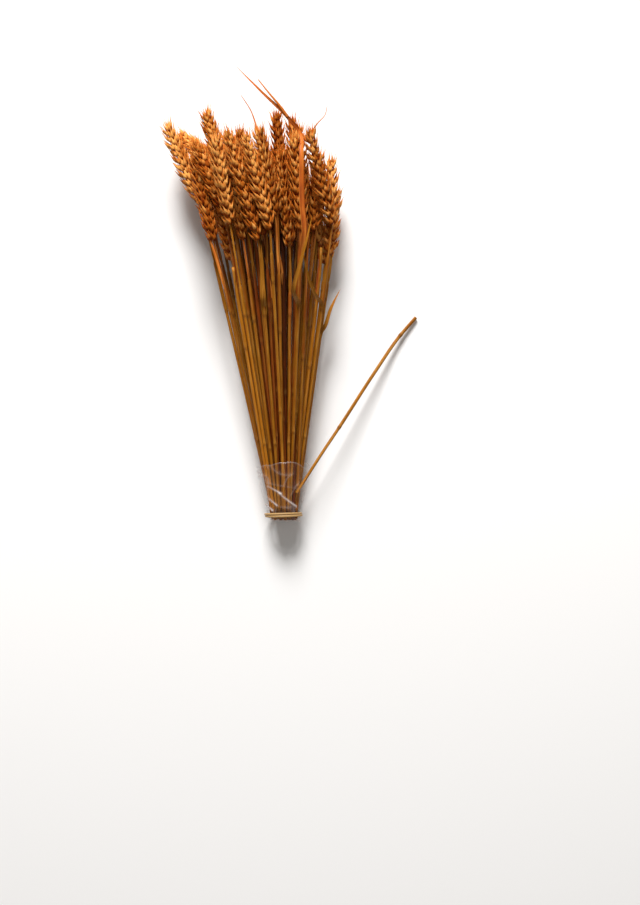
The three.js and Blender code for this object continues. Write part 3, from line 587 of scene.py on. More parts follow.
# The scales of one spikelet: two glumes outside, two lemmas between them, one in the middle, and two that
# close it to the axis. Lean: towards either side; inwards: back to the ear's axis; start and offset: of the
# root, along the spikelet and to that side; facing: by how much the back is turned from outwards to there.
SCALE_FAN = np.array([
    # lean, inwards, start, offset, length, width, facing
    [0.30, 0.04, 0.2, 1.3, 10.8, 4.6, 1.2],
    [-0.30, 0.04, 0.2, -1.3, 10.8, 4.6, -1.2],
    [0.17, -0.04, 2.2, 0.9, 13.6, 4.3, 0.9],
    [-0.17, -0.04, 2.2, -0.9, 13.6, 4.3, -0.9],
    [0.02, -0.14, 3.4, 0.0, 12.6, 3.9, 0.1],
    [0.14, 0.36, 0.4, 1.9, 11.0, 4.4, 1.5],
    [-0.14, 0.36, 0.4, -1.9, 11.0, 4.4, -1.5],
])
FAN_SCATTER = [0.05, 0.03, 0.15, 0.1, 0.4, 0.2, 0.08]  # how much each of these numbers varies
END_FAN = [0.5, 1, 1, 0.7, 1.4, 0.9, 1]  # and what the last spikelet multiplies it by
AWN_SHARES = [0.6, 0.6, 1, 1, 0.9, 0.4, 0.4]  # of the spikelet's awns, for each scale
SHORTEST_AWN = 1.5
AWN_RISE = 2.8
SPIKELETS_UP_TO, END_SHARE = 0.92, 0.88  # of the ear: where its rows end, and where its last spikelet is
END_SIZE, SCALE_UNIT = 0.095, 15  # the last spikelet's share of the ear, and the length of a full one
SCALE_STATIONS = np.array([0.04, 0.2, 0.4, 0.6, 0.8, 0.95])
SCALE_ANGLES = np.radians([0, 42, 90, 138, 180, 230, 310])
WIDEST = 0.38
NERVES = 15
# Radii of a culm, from the front of the ear and from its side: at the cut end, under and over the upper knot,
# under and over the collar, under and over the ear's foot, and at its end; and of a bare straw
CULM_DEEP = [1.5, 1.55, 1.95, 1.72, 1.2, 1.0, 1.2, 0.7]
CULM_WIDE = [1.5, 1.55, 1.95, 1.72, 1.2, 1.0, 0.7, 0.4]
BARE_RADII = [1.5, 1.55, 1.95, 1.65, 1.3]
CORE_SHARE = 0.86  # of the ear, which the culm reaches


def scale_outline(share):
    """Half width of a scale: a quarter ellipse up to WIDEST, then 1 - t^1.35, but no less than 0.2."""
    rise = np.sqrt(np.clip(1 - (1 - share / WIDEST) ** 2, 0, 1))
    fall = 1 - np.clip((share - WIDEST) / (1 - WIDEST), 0, 1) ** 1.35
    return np.where(share < WIDEST, rise, np.maximum(fall, 0.2))


def spikelet_scales(stalk, ears):
    """Roots, directions, backs, lengths, widths, awns and tints of the scales of one ear. Its spikelets lean
    out to either side of the axis by turns, the upper ones less, and are as large as the ear is full there.
    The last one ends the ear: it stands across the others and points along the axis. Awns grow longer towards
    the tip, and tints are painted lighter there as painted light, and darker deep in the bundle as painted
    shade."""
    random = stalk.random
    count = ears.spikelets
    scales = count + 1, len(SCALE_FAN)
    number = np.arange(count)
    share = SPIKELETS_UP_TO * number / count
    axis = stalk.tip - stalk.foot
    along = unit(axis)
    side = stalk.side(along)
    up = np.cross(side, along)
    out = side * np.where(number % 2, 1, -1)[:, None]
    lean = ears.spread * (1 - 0.45 * share**3) + random.normal(0, 0.05, count)
    size = ear_fullness(0.08 + share * (1 - 0.2 * share)) * random.uniform(0.9, 1.06, count)
    out = np.concatenate([out, [up]])[:, None]
    across = np.concatenate([np.tile(up, (count, 1)), [side]])[:, None]
    lean = np.append(lean, 0)[:, None, None]
    size = np.append(size, np.linalg.norm(axis) * END_SIZE / SCALE_UNIT)[:, None, None]
    share = np.append(share, END_SHARE)
    fan = SCALE_FAN + random.normal(0, 1, (*scales, len(FAN_SCATTER))) * FAN_SCATTER
    fan[-1] *= END_FAN
    tilt, inwards, start, offset, length, width, facing = np.split(fan, len(FAN_SCATTER), axis=-1)
    lean = lean - inwards
    main, outward = np.cos(lean) * along + np.sin(lean) * out, np.cos(lean) * out - np.sin(lean) * along
    direction = np.cos(tilt) * main + np.sin(tilt) * across
    sideways = np.cos(tilt) * across - np.sin(tilt) * main
    back = np.cos(facing) * outward + np.sin(facing) * sideways
    root = stalk.foot + share[:, None, None] * axis + 0.5 * out + size * (start * main + offset * across)
    grown = smooth_step(share, 0.1, 1.0)[:, None] * random.uniform(0.2, 1, scales)
    awn = (SHORTEST_AWN + ears.awn_length / MM * grown * stalk.awned) * AWN_SHARES
    # Painted shade: ears deep in the bundle are darker; painted light: tints grow lighter towards the ear's
    # tip.
    tint = stalk.tint + 0.07 - 0.45 * stalk.depth + 0.24 * share[:, None] ** 2
    tint = tint + random.normal(0, 0.13, scales)
    vectors = [values.reshape(-1, 3) for values in (root, direction, back)]
    return *vectors, *(np.ravel(values) for values in (size * length, size * width, awn, tint))


def scale_rings(root, direction, back, length, width):
    """Boat-shaped scales, N x 6 x 7 x 3. Their middle line bulges towards the back by a sine, and their outer
    half is an ellipse raised to a keel, their inner half a flat one."""
    across = np.cross(back, direction)
    share = SCALE_STATIONS
    middle = root[:, None] + direction[:, None] * (length[:, None] * share)[..., None]
    middle = middle + back[:, None] * (0.10 * length[:, None] * np.sin(math.pi * share))[..., None]
    half = scale_outline(share)
    wide = width[:, None, None] / 2 * half[None, :, None] * np.cos(SCALE_ANGLES)
    depth = np.where(np.sin(SCALE_ANGLES) > 0, 0.40, 0.14) + 0.07 * bump(SCALE_ANGLES, math.pi / 2, 0.3)
    high = width[:, None, None] * (half**0.8)[None, :, None] * depth * np.sin(SCALE_ANGLES)
    across, back = across[:, None, None], back[:, None, None]
    return middle[:, :, None] + wide[..., None] * across + high[..., None] * back


def culm_rings(stalk):
    """Rings of the culm from its cut end into the ear, where it is the flat, slightly zigzag core: the radius
    is that of the bare culm, swells at its two knots, is that of the sheath above the upper one up to its
    collar, and narrows to the neck. A bare straw ends at its tip."""
    foot, tip, collar, bare = stalk.foot[1], stalk.tip[1], stalk.collar, stalk.bare
    end = tip if bare else mix(foot, tip, CORE_SHARE)
    near = np.array([-2.2, -1.2, -0.4, 0.4, 1.2, 2.4, 4.5])
    y = np.sort(np.concatenate([
        np.linspace(stalk.cut, stalk.knot - 4, 16),
        stalk.knot + near,
        stalk.knot - KNOT_SPACING + near,
        np.linspace(stalk.knot + 9, collar - 2, 12),
        collar + np.array([-0.6, 0.2, 0.5, 3]),
        np.linspace(collar + 8, tip, 6) if bare else np.linspace(collar + 8, foot + 2, 14),
        [] if bare else np.linspace(foot + 5, end, 18),
    ]))
    y = y[(y >= stalk.cut) & (y <= end) & (np.diff(y, prepend=-99) > 0.25)]
    levels = [stalk.cut, stalk.knot + 0.4, stalk.knot + 3, collar - 1, collar + 0.4, foot - 4, foot + 4, end]
    if bare:
        deep = wide = np.interp(y, [*levels[:4], end], BARE_RADII)
    else:
        deep, wide = np.interp(y, levels, CULM_DEEP), np.interp(y, levels, CULM_WIDE)
    swelling = 0.3 * bump(y, stalk.knot - 0.6, 1.2) + 0.25 * bump(y, stalk.knot - KNOT_SPACING, 1.2)
    path = stalk.line(y)
    side = stalk.side(unit(stalk.line(y + 2.0) - stalk.line(y - 2.0)))
    zigzag = 0 if bare else smooth_step(y, foot, foot + 4) * 0.35 * np.sin(1.4 * y)
    path = path + np.reshape(zigzag, (-1, 1)) * side
    return tube_rings(path, 12, deep + swelling, wide + swelling, side), y


def leaf_way(layout, stalks, leaf):
    """The points that a leaf passes: inside its culm, on top of it 7 mm further on, and its own way, where a
    point without a height lies LEAF_LIFT over the highest stalk within 9 mm."""
    number, start, width, _, way = leaf
    root, above = stalks[number - 1].line([start, start + 7])
    above[2] = root[2] + CULM_RADIUS + LEAF_SOLID
    points = [root, above]
    for x, y, *z in way:
        near = [(x + a, y + b) for a in (-0.6 * width, 0, 0.6 * width) for b in (-9, 0, 9)]
        points.append([x, y, z[0] if z else max(layout.cover_at(*at) for at in near) + LEAF_LIFT])
    return np.array(points)


def strip_rings(path, widths, thickness, fold, twist):
    """Rings of a dried strip: each point is width / 2 cos(a) to the side of the path, and fold times width
    times (|cos(a)|^1.4 - 0.5) less thickness / 2 sin(a) above it, all turned about the path by twist."""
    along = unit(np.gradient(path, axis=0))
    level = unit(np.cross(along, [0.0, 0.0, 1.0]))
    up = np.cross(level, along)
    twist = np.reshape(twist, (-1, 1))
    side = np.cos(twist) * level + np.sin(twist) * up
    up = np.cos(twist) * up - np.sin(twist) * level
    angle = angles(10)
    across = widths[:, None] / 2 * np.cos(angle)
    high = fold * widths[:, None] * (np.abs(np.cos(angle)) ** 1.4 - 0.5) - thickness / 2 * np.sin(angle)
    return path[:, None] + across[..., None] * side[:, None] + high[..., None] * up[:, None]


def sleeve_point(angle, y, offset):
    """The point at an angle round the cross-section, offset outside it. At the left the film stands off, and
    at the right it swells into a pocket for the broken straw; both grow along Y as smooth steps."""
    x_middle, z_middle, half_width, half_height = section(y)
    out = offset + POCKET_DEPTH * bump(angle, POCKET_ANGLE, POCKET_WIDTH) * smooth_step(y, 0, 34)
    out = out + FLARE * bump(angle, math.pi, POCKET_WIDTH) * smooth_step(y, 8, 30)
    x, z = x_middle + (half_width + out) * np.cos(angle), z_middle + (half_height + out) * np.sin(angle)
    return np.stack([x, y + 0 * angle, z], axis=-1)


# Waves of the film's creases: turns round the sleeve, radians per millimetre along it, share, and phase; and
# four long folds on its upper side, each from x, y to x, y, whose whitening stands for painted highlights
CREASE_WAVES = [(3, 0.13, 1.0, 0.4), (-2, 0.1, 0.9, 2.1), (1, -0.17, 0.8, 3.3)]
HIGHLIGHT_FOLDS = [(-14, 28, -2, 21), (-4, 21, 12, 8), (-15, 17, -6, 9), (-17, 10, -10, 4)]
FOLD_WIDTH = 0.9
# Ripples of its edges: turns, phase and height
TOP_RIPPLES, BOTTOM_RIPPLES = [(5, 0, 0.4), (11, 1, 0.3)], [(4, 0, 0.5), (9, 0, 0.4)]
FILM_HEM, HEM_RISE, HEM_RISE_WIDTH = 0.4, 5, 0.45
PLEATS, PLEAT_HEIGHT = 17, 0.35  # under the band
GATHERS, GATHER_DEPTH = 6.5, 2.2  # below it
BAND_HOOPS, BAND_SIDES = 220, 12
BAND_SHIFT, BAND_SAG, BAND_LIFT = 1.25, 0.5, 0.42


def creases(angle, y, film):
    """How far each point of the film stands out of its smooth shape, and how close it is to a crease, which
    whitens the
    film partly as painted highlight: the sum of waves |sin| that run slanting round the sleeve, each only where
    a slower wave is high, with their ridges sharpened by a power; and ridges exp(-(distance / FOLD_WIDTH)^2)
    along the long folds."""
    height, crease_highlight_share = 0 * angle, 0 * angle
    for turns, climb, share, phase in CREASE_WAVES:
        wander = 0.7 * np.sin(2 * angle + y / 9 + phase) + 0.5 * np.sin(3 * angle - y / 6 + 2 * phase)
        wave = np.abs(np.sin(turns * angle + climb * y + wander + phase))
        there = smooth_step(np.sin(angle * abs(turns) - 0.11 * y + 3 * phase), -0.1, 0.8)
        height = height + share * there * (1 - wave)
        crease_highlight_share = crease_highlight_share + 0.3 * share * there * (1 - wave) ** 9
    x = sleeve_point(angle, y, CULM_RADIUS)[..., 0]
    for x0, y0, x1, y1 in HIGHLIGHT_FOLDS:
        dx, dy = x1 - x0, y1 - y0
        along = np.clip(((x - x0) * dx + (y - y0) * dy) / (dx**2 + dy**2), 0, 1)
        away = np.hypot(x - x0 - along * dx, y - y0 - along * dy)
        ridge = bump(away, 0, FOLD_WIDTH) * (np.sin(angle) > 0)
        height, crease_highlight_share = height + 0.8 * ridge, crease_highlight_share + (0.4 + 0.6 * along) * ridge
    return film.crumple / MM * (height - 0.5), np.clip(crease_highlight_share, 0, 1)


def rippled(level, angle, ripples):
    """The level with height sin(turns angle + phase) added for each of the ripples."""
    for turns, phase, height in ripples:
        level = level + height * np.sin(turns * angle + phase)
    return level


def film_hoops(film):
    """The film as one thin wall closed round its edges: hoops of its outer side from the upper edge down,
    then as many of its inner side upwards, with the closeness to a crease of each point, which paints the film
    whitish, partly as painted highlight. The upper edge slants and dips at the pocket, the lower one rises at
    the left, and both are rippled. Under the band the creases give way to pleats |sin|, and below it the film
    is drawn in by gathers |sin|."""
    angle = 2 * math.pi * (np.arange(FILM_POINTS) + 0.5) / FILM_POINTS
    angle = np.where(angle > 1.6 * math.pi, angle - 2 * math.pi, angle)
    dip = POCKET_DIP * bump(angle, POCKET_DIP_ANGLE, POCKET_DIP_WIDTH)
    top = rippled(FILM_TO + FILM_SLANT * np.sin(angle + 1.2) - dip, angle, TOP_RIPPLES)
    bottom = FILM_FROM + FILM_HEM + HEM_RISE * bump(angle, math.pi, HEM_RISE_WIDTH)
    bottom = rippled(bottom, angle, BOTTOM_RIPPLES)
    share = np.linspace(0, 1, FILM_HOOPS)[:, None]
    y = mix(top, bottom, share)
    height, crease_highlight_share = creases(angle + 0 * y, y, film)
    under_band = bump(y, 0, 4.0)
    height = height * (1 - 0.8 * under_band) + PLEAT_HEIGHT * under_band * np.abs(np.sin(PLEATS * angle))
    gathered = smooth_step(-y, 2.5, 7)
    offset = CULM_RADIUS + FILM_SLACK + 0.35 * FILM_WALL + height
    outer = sleeve_point(angle, y, offset - GATHER_DEPTH * gathered * np.abs(np.sin(GATHERS * angle + 0.4)))
    outwards = unit(np.cross(np.gradient(outer, axis=1), np.gradient(outer, axis=0)))
    inner = outer - film.thickness / MM * outwards
    edge = np.minimum(bump(share, 0, 0.012) + bump(share, 1, 0.012), 1)
    crease_highlight_share = np.maximum(np.clip(crease_highlight_share + 0.1 * gathered, 0, 1), 0.3 * edge)
    return np.concatenate([outer, inner[::-1]]), np.concatenate([crease_highlight_share, crease_highlight_share[::-1]])


def band_hoops(band):
    """One rubber ring that lies round the sleeve twice and crosses itself, over two turns of a: its middle is
    at y = BAND_SHIFT cos(b) + BAND_SAG (cos(a) - 1) and out by BAND_LIFT sin(b), with b = a / 2 - pi / 4, and
    across it is an oval."""
    angle = 2 * angles(BAND_HOOPS)
    half = angle / 2 - math.pi / 4
    out = CULM_RADIUS + FILM_SLACK + FILM_WALL + BAND_GAP + BAND_THICKNESS / 2
    y = BAND_SHIFT * np.cos(half) + BAND_SAG * np.cos(angle) - BAND_SAG
    thick, wide = band.thickness / MM / 2, band.width / MM / 2
    path = sleeve_point(angle, y, out + BAND_LIFT * np.sin(half))
    outwards = unit(sleeve_point(angle, y, out + 1) - sleeve_point(angle, y, out))
    sideways = unit(np.cross(np.gradient(path, axis=0), outwards))
    angle = angles(BAND_SIDES)[:, None]
    ring = np.cos(angle) * thick * outwards[:, None]
    return path[:, None] + ring + np.sin(angle) * wide * sideways[:, None]


class Value:
    """One output of a shader node. Arithmetic with it, on either side, adds Math nodes."""

    def __init__(self, shader, socket):
        self.shader, self.socket = shader, socket

    def maths(self, operation, *values):
        return self.shader.node("ShaderNodeMath", {"operation": operation}, dict(enumerate(values)))

    def __add__(self, other):
        return self.maths("ADD", self, other)

    __radd__ = __add__

    def __sub__(self, other):
        return self.maths("SUBTRACT", self, other)

    def __rsub__(self, other):
        return self.maths("SUBTRACT", other, self)

    def __mul__(self, other):
        return self.maths("MULTIPLY", self, other)

    __rmul__ = __mul__

    def clamped(self):
        return self.shader.node("ShaderNodeClamp", {}, {"Value": self})

    def sine(self):
        return self.maths("SINE", self)

    def step(self, low, high):
        """0 below low, 1 above high, and a smooth step between."""
        limits = {"Value": self, "From Min": low, "From Max": high}
        return self.shader.node("ShaderNodeMapRange", {"interpolation_type": "SMOOTHSTEP"}, limits)


class Shader:
    """A material whose Principled shader is fed by nodes that are added one by one."""

    def __init__(self, name):
        self.material = bpy.data.materials.new(name)
        self.material.use_nodes = True
        self.tree = self.material.node_tree
        self.principled = self.tree.nodes["Principled BSDF"]

    def put(self, socket, value):
        """Links a value to a socket, or sets the socket's own number or colour."""
        if isinstance(value, Value):
            self.tree.links.new(value.socket, socket)
        elif socket.type == "RGBA":
            socket.default_value = (*value[:3], 1)
        else:
            socket.default_value = value

    def node(self, kind, settings, inputs, output=0):
        """Adds a node: first its settings, stops being those of a colour ramp, then its inputs by name or
        number. Gives back one of its outputs."""
        made = self.tree.nodes.new(kind)
        for name, setting in settings.items():
            if name == "stops":
                ramp = made.color_ramp.elements
                while len(ramp) < len(setting):
                    ramp.new(0.5)
                for element, (position, colour) in zip(ramp, setting):
                    element.position, element.color = position, (*colour, 1)
            else:
                setattr(made, name, setting)
        for name, value in inputs.items():
            self.put(made.inputs[name], value)
        return Value(self, made.outputs[output])

    def surface(self, **inputs):
        """Sets inputs of the Principled shader; an underscore in a name stands for a space."""
        for name, value in inputs.items():
            self.put(self.principled.inputs[name.replace("_", " ")], value)
        return self.material

    def uv(self):
        return self.node("ShaderNodeUVMap", {"uv_map": "places"}, {})

    def places(self):
        """The share of the way round a surface, and the place along it."""
        uv = self.uv()
        return [self.node("ShaderNodeSeparateXYZ", {}, {0: uv}, n) for n in (0, 1)]

    def tint(self):
        return self.node("ShaderNodeAttribute", {"attribute_name": "tint"}, {}, "Fac")

    def position(self):
        return self.node("ShaderNodeTexCoord", {}, {}, "Object")

    def noise(self, vector, scale, detail=3):
        inputs = {"Vector": vector, "Scale": scale, "Detail": detail, "Roughness": 0.55}
        return self.node("ShaderNodeTexNoise", {}, inputs)

    def grain(self, round_scale, along_scale, detail):
        """Noise over the places, which are first multiplied by two numbers."""
        inputs = {0: self.uv(), 1: (round_scale, along_scale, 1)}
        stretched = self.node("ShaderNodeVectorMath", {"operation": "MULTIPLY"}, inputs)
        return self.noise(stretched, 1, detail)

    def ramp(self, factor, *stops):
        return self.node("ShaderNodeValToRGB", {"stops": stops}, {"Fac": factor})

    def blend(self, factor, a, b, kind="MIX"):
        """Colour a turned into colour b by factor, or by another kind of mixing."""
        settings = {"data_type": "RGBA", "blend_type": kind, "clamp_factor": True}
        return self.node("ShaderNodeMix", settings, {0: factor, 6: a, 7: b}, 2)

    def bumps(self, height, strength, distance):
        inputs = {"Height": height, "Strength": strength, "Distance": distance}
        return self.node("ShaderNodeBump", {}, inputs)


def chaff_material(ears):
    """Dry scales of the ears: golden, mottled from dark to light by the scale's tint and by noise, with painted
    shade deep brown at the root, and reddish at the edges and the awn, with fine nerves along the back."""
    shader = Shader("wheat_chaff")
    around, along = shader.places()
    position = shader.position()
    mottled, fine = shader.noise(position, 240), shader.noise(position, 1500)
    nerves = (around * (2 * math.pi * NERVES)).sine()
    shade = shader.tint() + (mottled - 0.5) * 0.9 + (fine - 0.5) * 0.4 + nerves * 0.05
    stops = (0.12, ears.colour_dark), (0.5, ears.colour_mid), (0.9, ears.colour_light)
    colour = shader.ramp(shade, *stops)
    # Painted shade: darker towards each scale's root, where the scales overlap.
    colour = shader.blend(1 - along.step(0.05, 0.55), colour, ears.colour_root_shade, "MULTIPLY")
    from_keel = around - 2 / len(SCALE_ANGLES)
    edge = (from_keel * from_keel).step(0.012, 0.08)
    colour = shader.blend(edge * 0.6 + along.step(0.84, 1.0) * 0.4, colour, ears.colour_awn)
    return shader.surface(
        Base_Color=colour,
        Roughness=(fine * 0.3 + 0.45).clamped(),
        Normal=shader.bumps(nerves * 0.3 + fine, 0.35, 0.0003),
        Specular_IOR_Level=0.06,
        Subsurface_Weight=0.1,
        Subsurface_Radius=(1.0, 0.35, 0.08),
        Subsurface_Scale=0.0015,
    )


def straw_material(straws, name):
    """Culms and sheaths: dark to reddish, olive and golden by the stalk's tint, which carries painted shade for
    straws deep in the bundle, streaks along the straw and the level along the bundle, pale fine lines that are
    partly wear and partly painted highlight, with a dark ring and a pale one at each knot; the upper knot is
    where the place along it is 0."""
    shader = Shader(name)
    _, along = shader.places()
    streaks, blotches = shader.grain(26, 0.22, 4), shader.grain(2, 0.5, 2)
    level = shader.node("ShaderNodeSeparateXYZ", {}, {0: shader.position()}, 1)
    shade = shader.tint() + (streaks - 0.5) * 1.2 + (blotches - 0.5) * 0.6 + level.step(0.12, 0.26) * -0.16
    stops = (0.0, straws.colour_dark), (0.28, straws.colour_red), (0.5, straws.colour_olive)
    colour = shader.ramp(shade, *stops, (0.8, straws.colour_gold))
    for knot in (along, along + KNOT_SPACING / PLACE_UNIT):
        dark = knot.step(-0.35, -0.08) * (1 - knot.step(0.0, 0.16))
        pale = knot.step(0.05, 0.2) * (1 - knot.step(0.3, 0.8))
        colour = shader.blend(dark * (blotches * 1.2 - 0.2), colour, straws.colour_knot)
        colour = shader.blend(pale * 0.08, colour, straws.colour_pale)
    # Partly wear and partly painted highlight: fine pale lines on the straws that lie higher in the bundle.
    worn_and_highlight = shader.grain(45, 0.2, 3).step(0.55, 0.7)
    colour = shader.blend(worn_and_highlight * shader.tint().step(0.1, 0.5) * 0.7, colour, straws.colour_pale)
    return shader.surface(
        Base_Color=colour,
        Roughness=(streaks * 0.3 + 0.32).clamped(),
        Normal=shader.bumps(streaks, 0.3, 0.0003),
        Specular_IOR_Level=0.14,
    )


def leaf_material(leaves):
    """Dried blades: reddish brown with pale veins along them, and blotches."""
    shader = Shader("dry_leaf")
    veins, blotches = shader.grain(22, 0.1, 4), shader.grain(3, 0.8, 3)
    shade = (veins - 0.5) * 2.0 + (blotches - 0.5) * 1.2 + shader.tint()
    stops = (0.15, leaves.colour_dark), (0.5, leaves.colour), (0.9, leaves.colour_pale)
    return shader.surface(
        Base_Color=shader.ramp(shade, *stops),
        Roughness=(veins * 0.3 + 0.4).clamped(),
        Normal=shader.bumps(veins, 0.4, 0.0004),
        Specular_IOR_Level=0.25,
        Subsurface_Weight=0.1,
        Subsurface_Radius=(1.0, 0.3, 0.05),
        Subsurface_Scale=0.001,
    )


def film_material(film):
    """Clear film: nearly unseen where it lies flat, whitish and denser along its creases, its tint, which is
    partly real whitened crease and partly painted highlight.
    """
    shader = Shader("clear_film")
    crease_and_highlight = shader.tint()
    cloudy = shader.noise(shader.position(), 180, 2)
    # Painted highlight: creases and long folds are whitened and made denser, partly as real whitened creases.
    alpha = cloudy * 0.03 + crease_and_highlight * 0.6 + (film.density - 0.02)
    return shader.surface(
        Base_Color=shader.blend(crease_and_highlight, film.colour, film.colour_crease_highlight),
        Roughness=(crease_and_highlight * 0.25 + 0.1).clamped(),
        Alpha=alpha.clamped(),
        Specular_IOR_Level=0.9,
    )


def rubber_material(band):
    """Tan rubber, a little mottled and dusty."""
    shader = Shader("tan_rubber")
    dust = shader.noise(shader.position(), 900, 4)
    return shader.surface(
        Base_Color=shader.blend((dust * 1.6 - 0.4).clamped(), band.colour, band.colour_dust),
        Roughness=(dust * 0.3 + 0.4).clamped(),
        Normal=shader.bumps(dust, 0.25, 0.0002),
    )


def place_piece(shape, node, slot, *materials):
    """The piece for a node, of a shape's surfaces: it rides on the bundle's one body; the slot is not used."""
    piece = shape.object("wheat_" + node, *materials)
    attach(piece, BODY)
    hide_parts(node)
    return piece


def a_colour(name, description, default):
    return FloatVectorProperty(
        name=name, description=description, default=default, subtype="COLOR", min=0, max=1)


def a_length(name, description, default):
    return FloatProperty(name=name, description=description, default=default, unit="LENGTH", precision=5)


def a_share(name, description, default):
    return FloatProperty(name=name, description=description, default=default, subtype="FACTOR", min=0, max=1)


class EarSettings(bpy.types.PropertyGroup):
    spikelets: IntProperty(
        name="Spikelets", description="Spikelets in both rows of an ear", default=20, min=6)
    spread: FloatProperty(
        name="Spread", description="Angle of a spikelet from the ear's axis", default=0.44, subtype="ANGLE")
    awn_length: a_length("Awns", "Longest awn at the ear's tip", 0.0085)
    colour_light: a_colour("Light", "Palest scales", (0.79, 0.36, 0.085))
    colour_mid: a_colour("Middle", "Most scales", (0.38, 0.098, 0.007))
    colour_dark: a_colour("Dark", "Darkest scales", (0.15, 0.020, 0.001))
    colour_awn: a_colour("Awn", "Edges and points of the scales", (0.54, 0.12, 0.010))
    # Painted shade at the roots of the scales, where they overlap.
    colour_root_shade: a_colour("Root", "Multiplies the colour at the roots of the scales", (0.36, 0.10, 0.02))


class StrawSettings(bpy.types.PropertyGroup):
    # Painted shade: straws deep in the bundle are darkened towards this colour.
    colour_dark: a_colour("Dark", "Straws deep in the bundle", (0.07, 0.014, 0.001))
    colour_olive: a_colour("Olive", "Greenish straws", (0.22, 0.080, 0.002))
    colour_gold: a_colour("Gold", "Most straws", (0.42, 0.140, 0.006))
    colour_red: a_colour("Red", "Reddish straws", (0.24, 0.042, 0.002))
    colour_knot: a_colour("Knot", "Dark ring at a knot", (0.10, 0.03, 0.006))
    # Partly wear and partly painted highlight: the worn lines also stand for highlights on the straws.
    colour_pale: a_colour("Worn", "Worn lines, and the pale ring over a knot", (0.82, 0.46, 0.10))


class LeafSettings(bpy.types.PropertyGroup):
    thickness: a_length("Thickness", "Thickness of a blade", 0.00035)
    fold: a_share("Fold", "Depth of the fold, as a share of the width", 0.22)
    share: a_share("Share", "Share of the stalks with a withered blade", 0.9)
    length: a_length("Length", "Longest withered blade", 0.1)
    colour: a_colour("Blade", "Most of a blade", (0.50, 0.11, 0.006))
    colour_dark: a_colour("Dark", "Blotches", (0.25, 0.04, 0.003))
    colour_pale: a_colour("Veins", "Veins and worn places", (0.66, 0.25, 0.04))


class FilmSettings(bpy.types.PropertyGroup):
    thickness: a_length("Thickness", "Thickness of the film", 0.00012)
    crumple: a_length("Crumple", "Depth of the creases", 0.0007)
    flat_width: a_length("Flat width", "Width of the film before it was rolled round", 0.13)
    flat_length: a_length("Flat length", "Length of the film along the straws", 0.06)
    density: a_share("Density", "How much a flat place hides", 0.022)
    colour: a_colour("Film", "Tint of flat film", (0.62, 0.47, 0.42))
    # Painted highlight: the whitish tint of the creases and long folds, partly real crease.
    colour_crease_highlight: a_colour("Creases", "Tint of its creases", (0.93, 0.86, 0.84))


class BandSettings(bpy.types.PropertyGroup):
    width: a_length("Width", "Width of the rubber ring", 0.0022)
    thickness: a_length("Thickness", "Thickness of the rubber ring", 0.0011)
    colour: a_colour("Rubber", "Tan rubber", (0.36, 0.19, 0.055))
    colour_dust: a_colour("Dust", "Worn and dusty places", (0.50, 0.32, 0.13))


class StageSettings(bpy.types.PropertyGroup):
    floor: a_colour("Floor", "Plain floor", (0.86, 0.85, 0.84))
    key_power: FloatProperty(name="Key", description="Light beyond the ears", default=200, unit="POWER")
    fill_power: FloatProperty(name="Fill", description="Light from above", default=5, unit="POWER")
    distance: a_length("Distance", "Camera's height", 2.6)


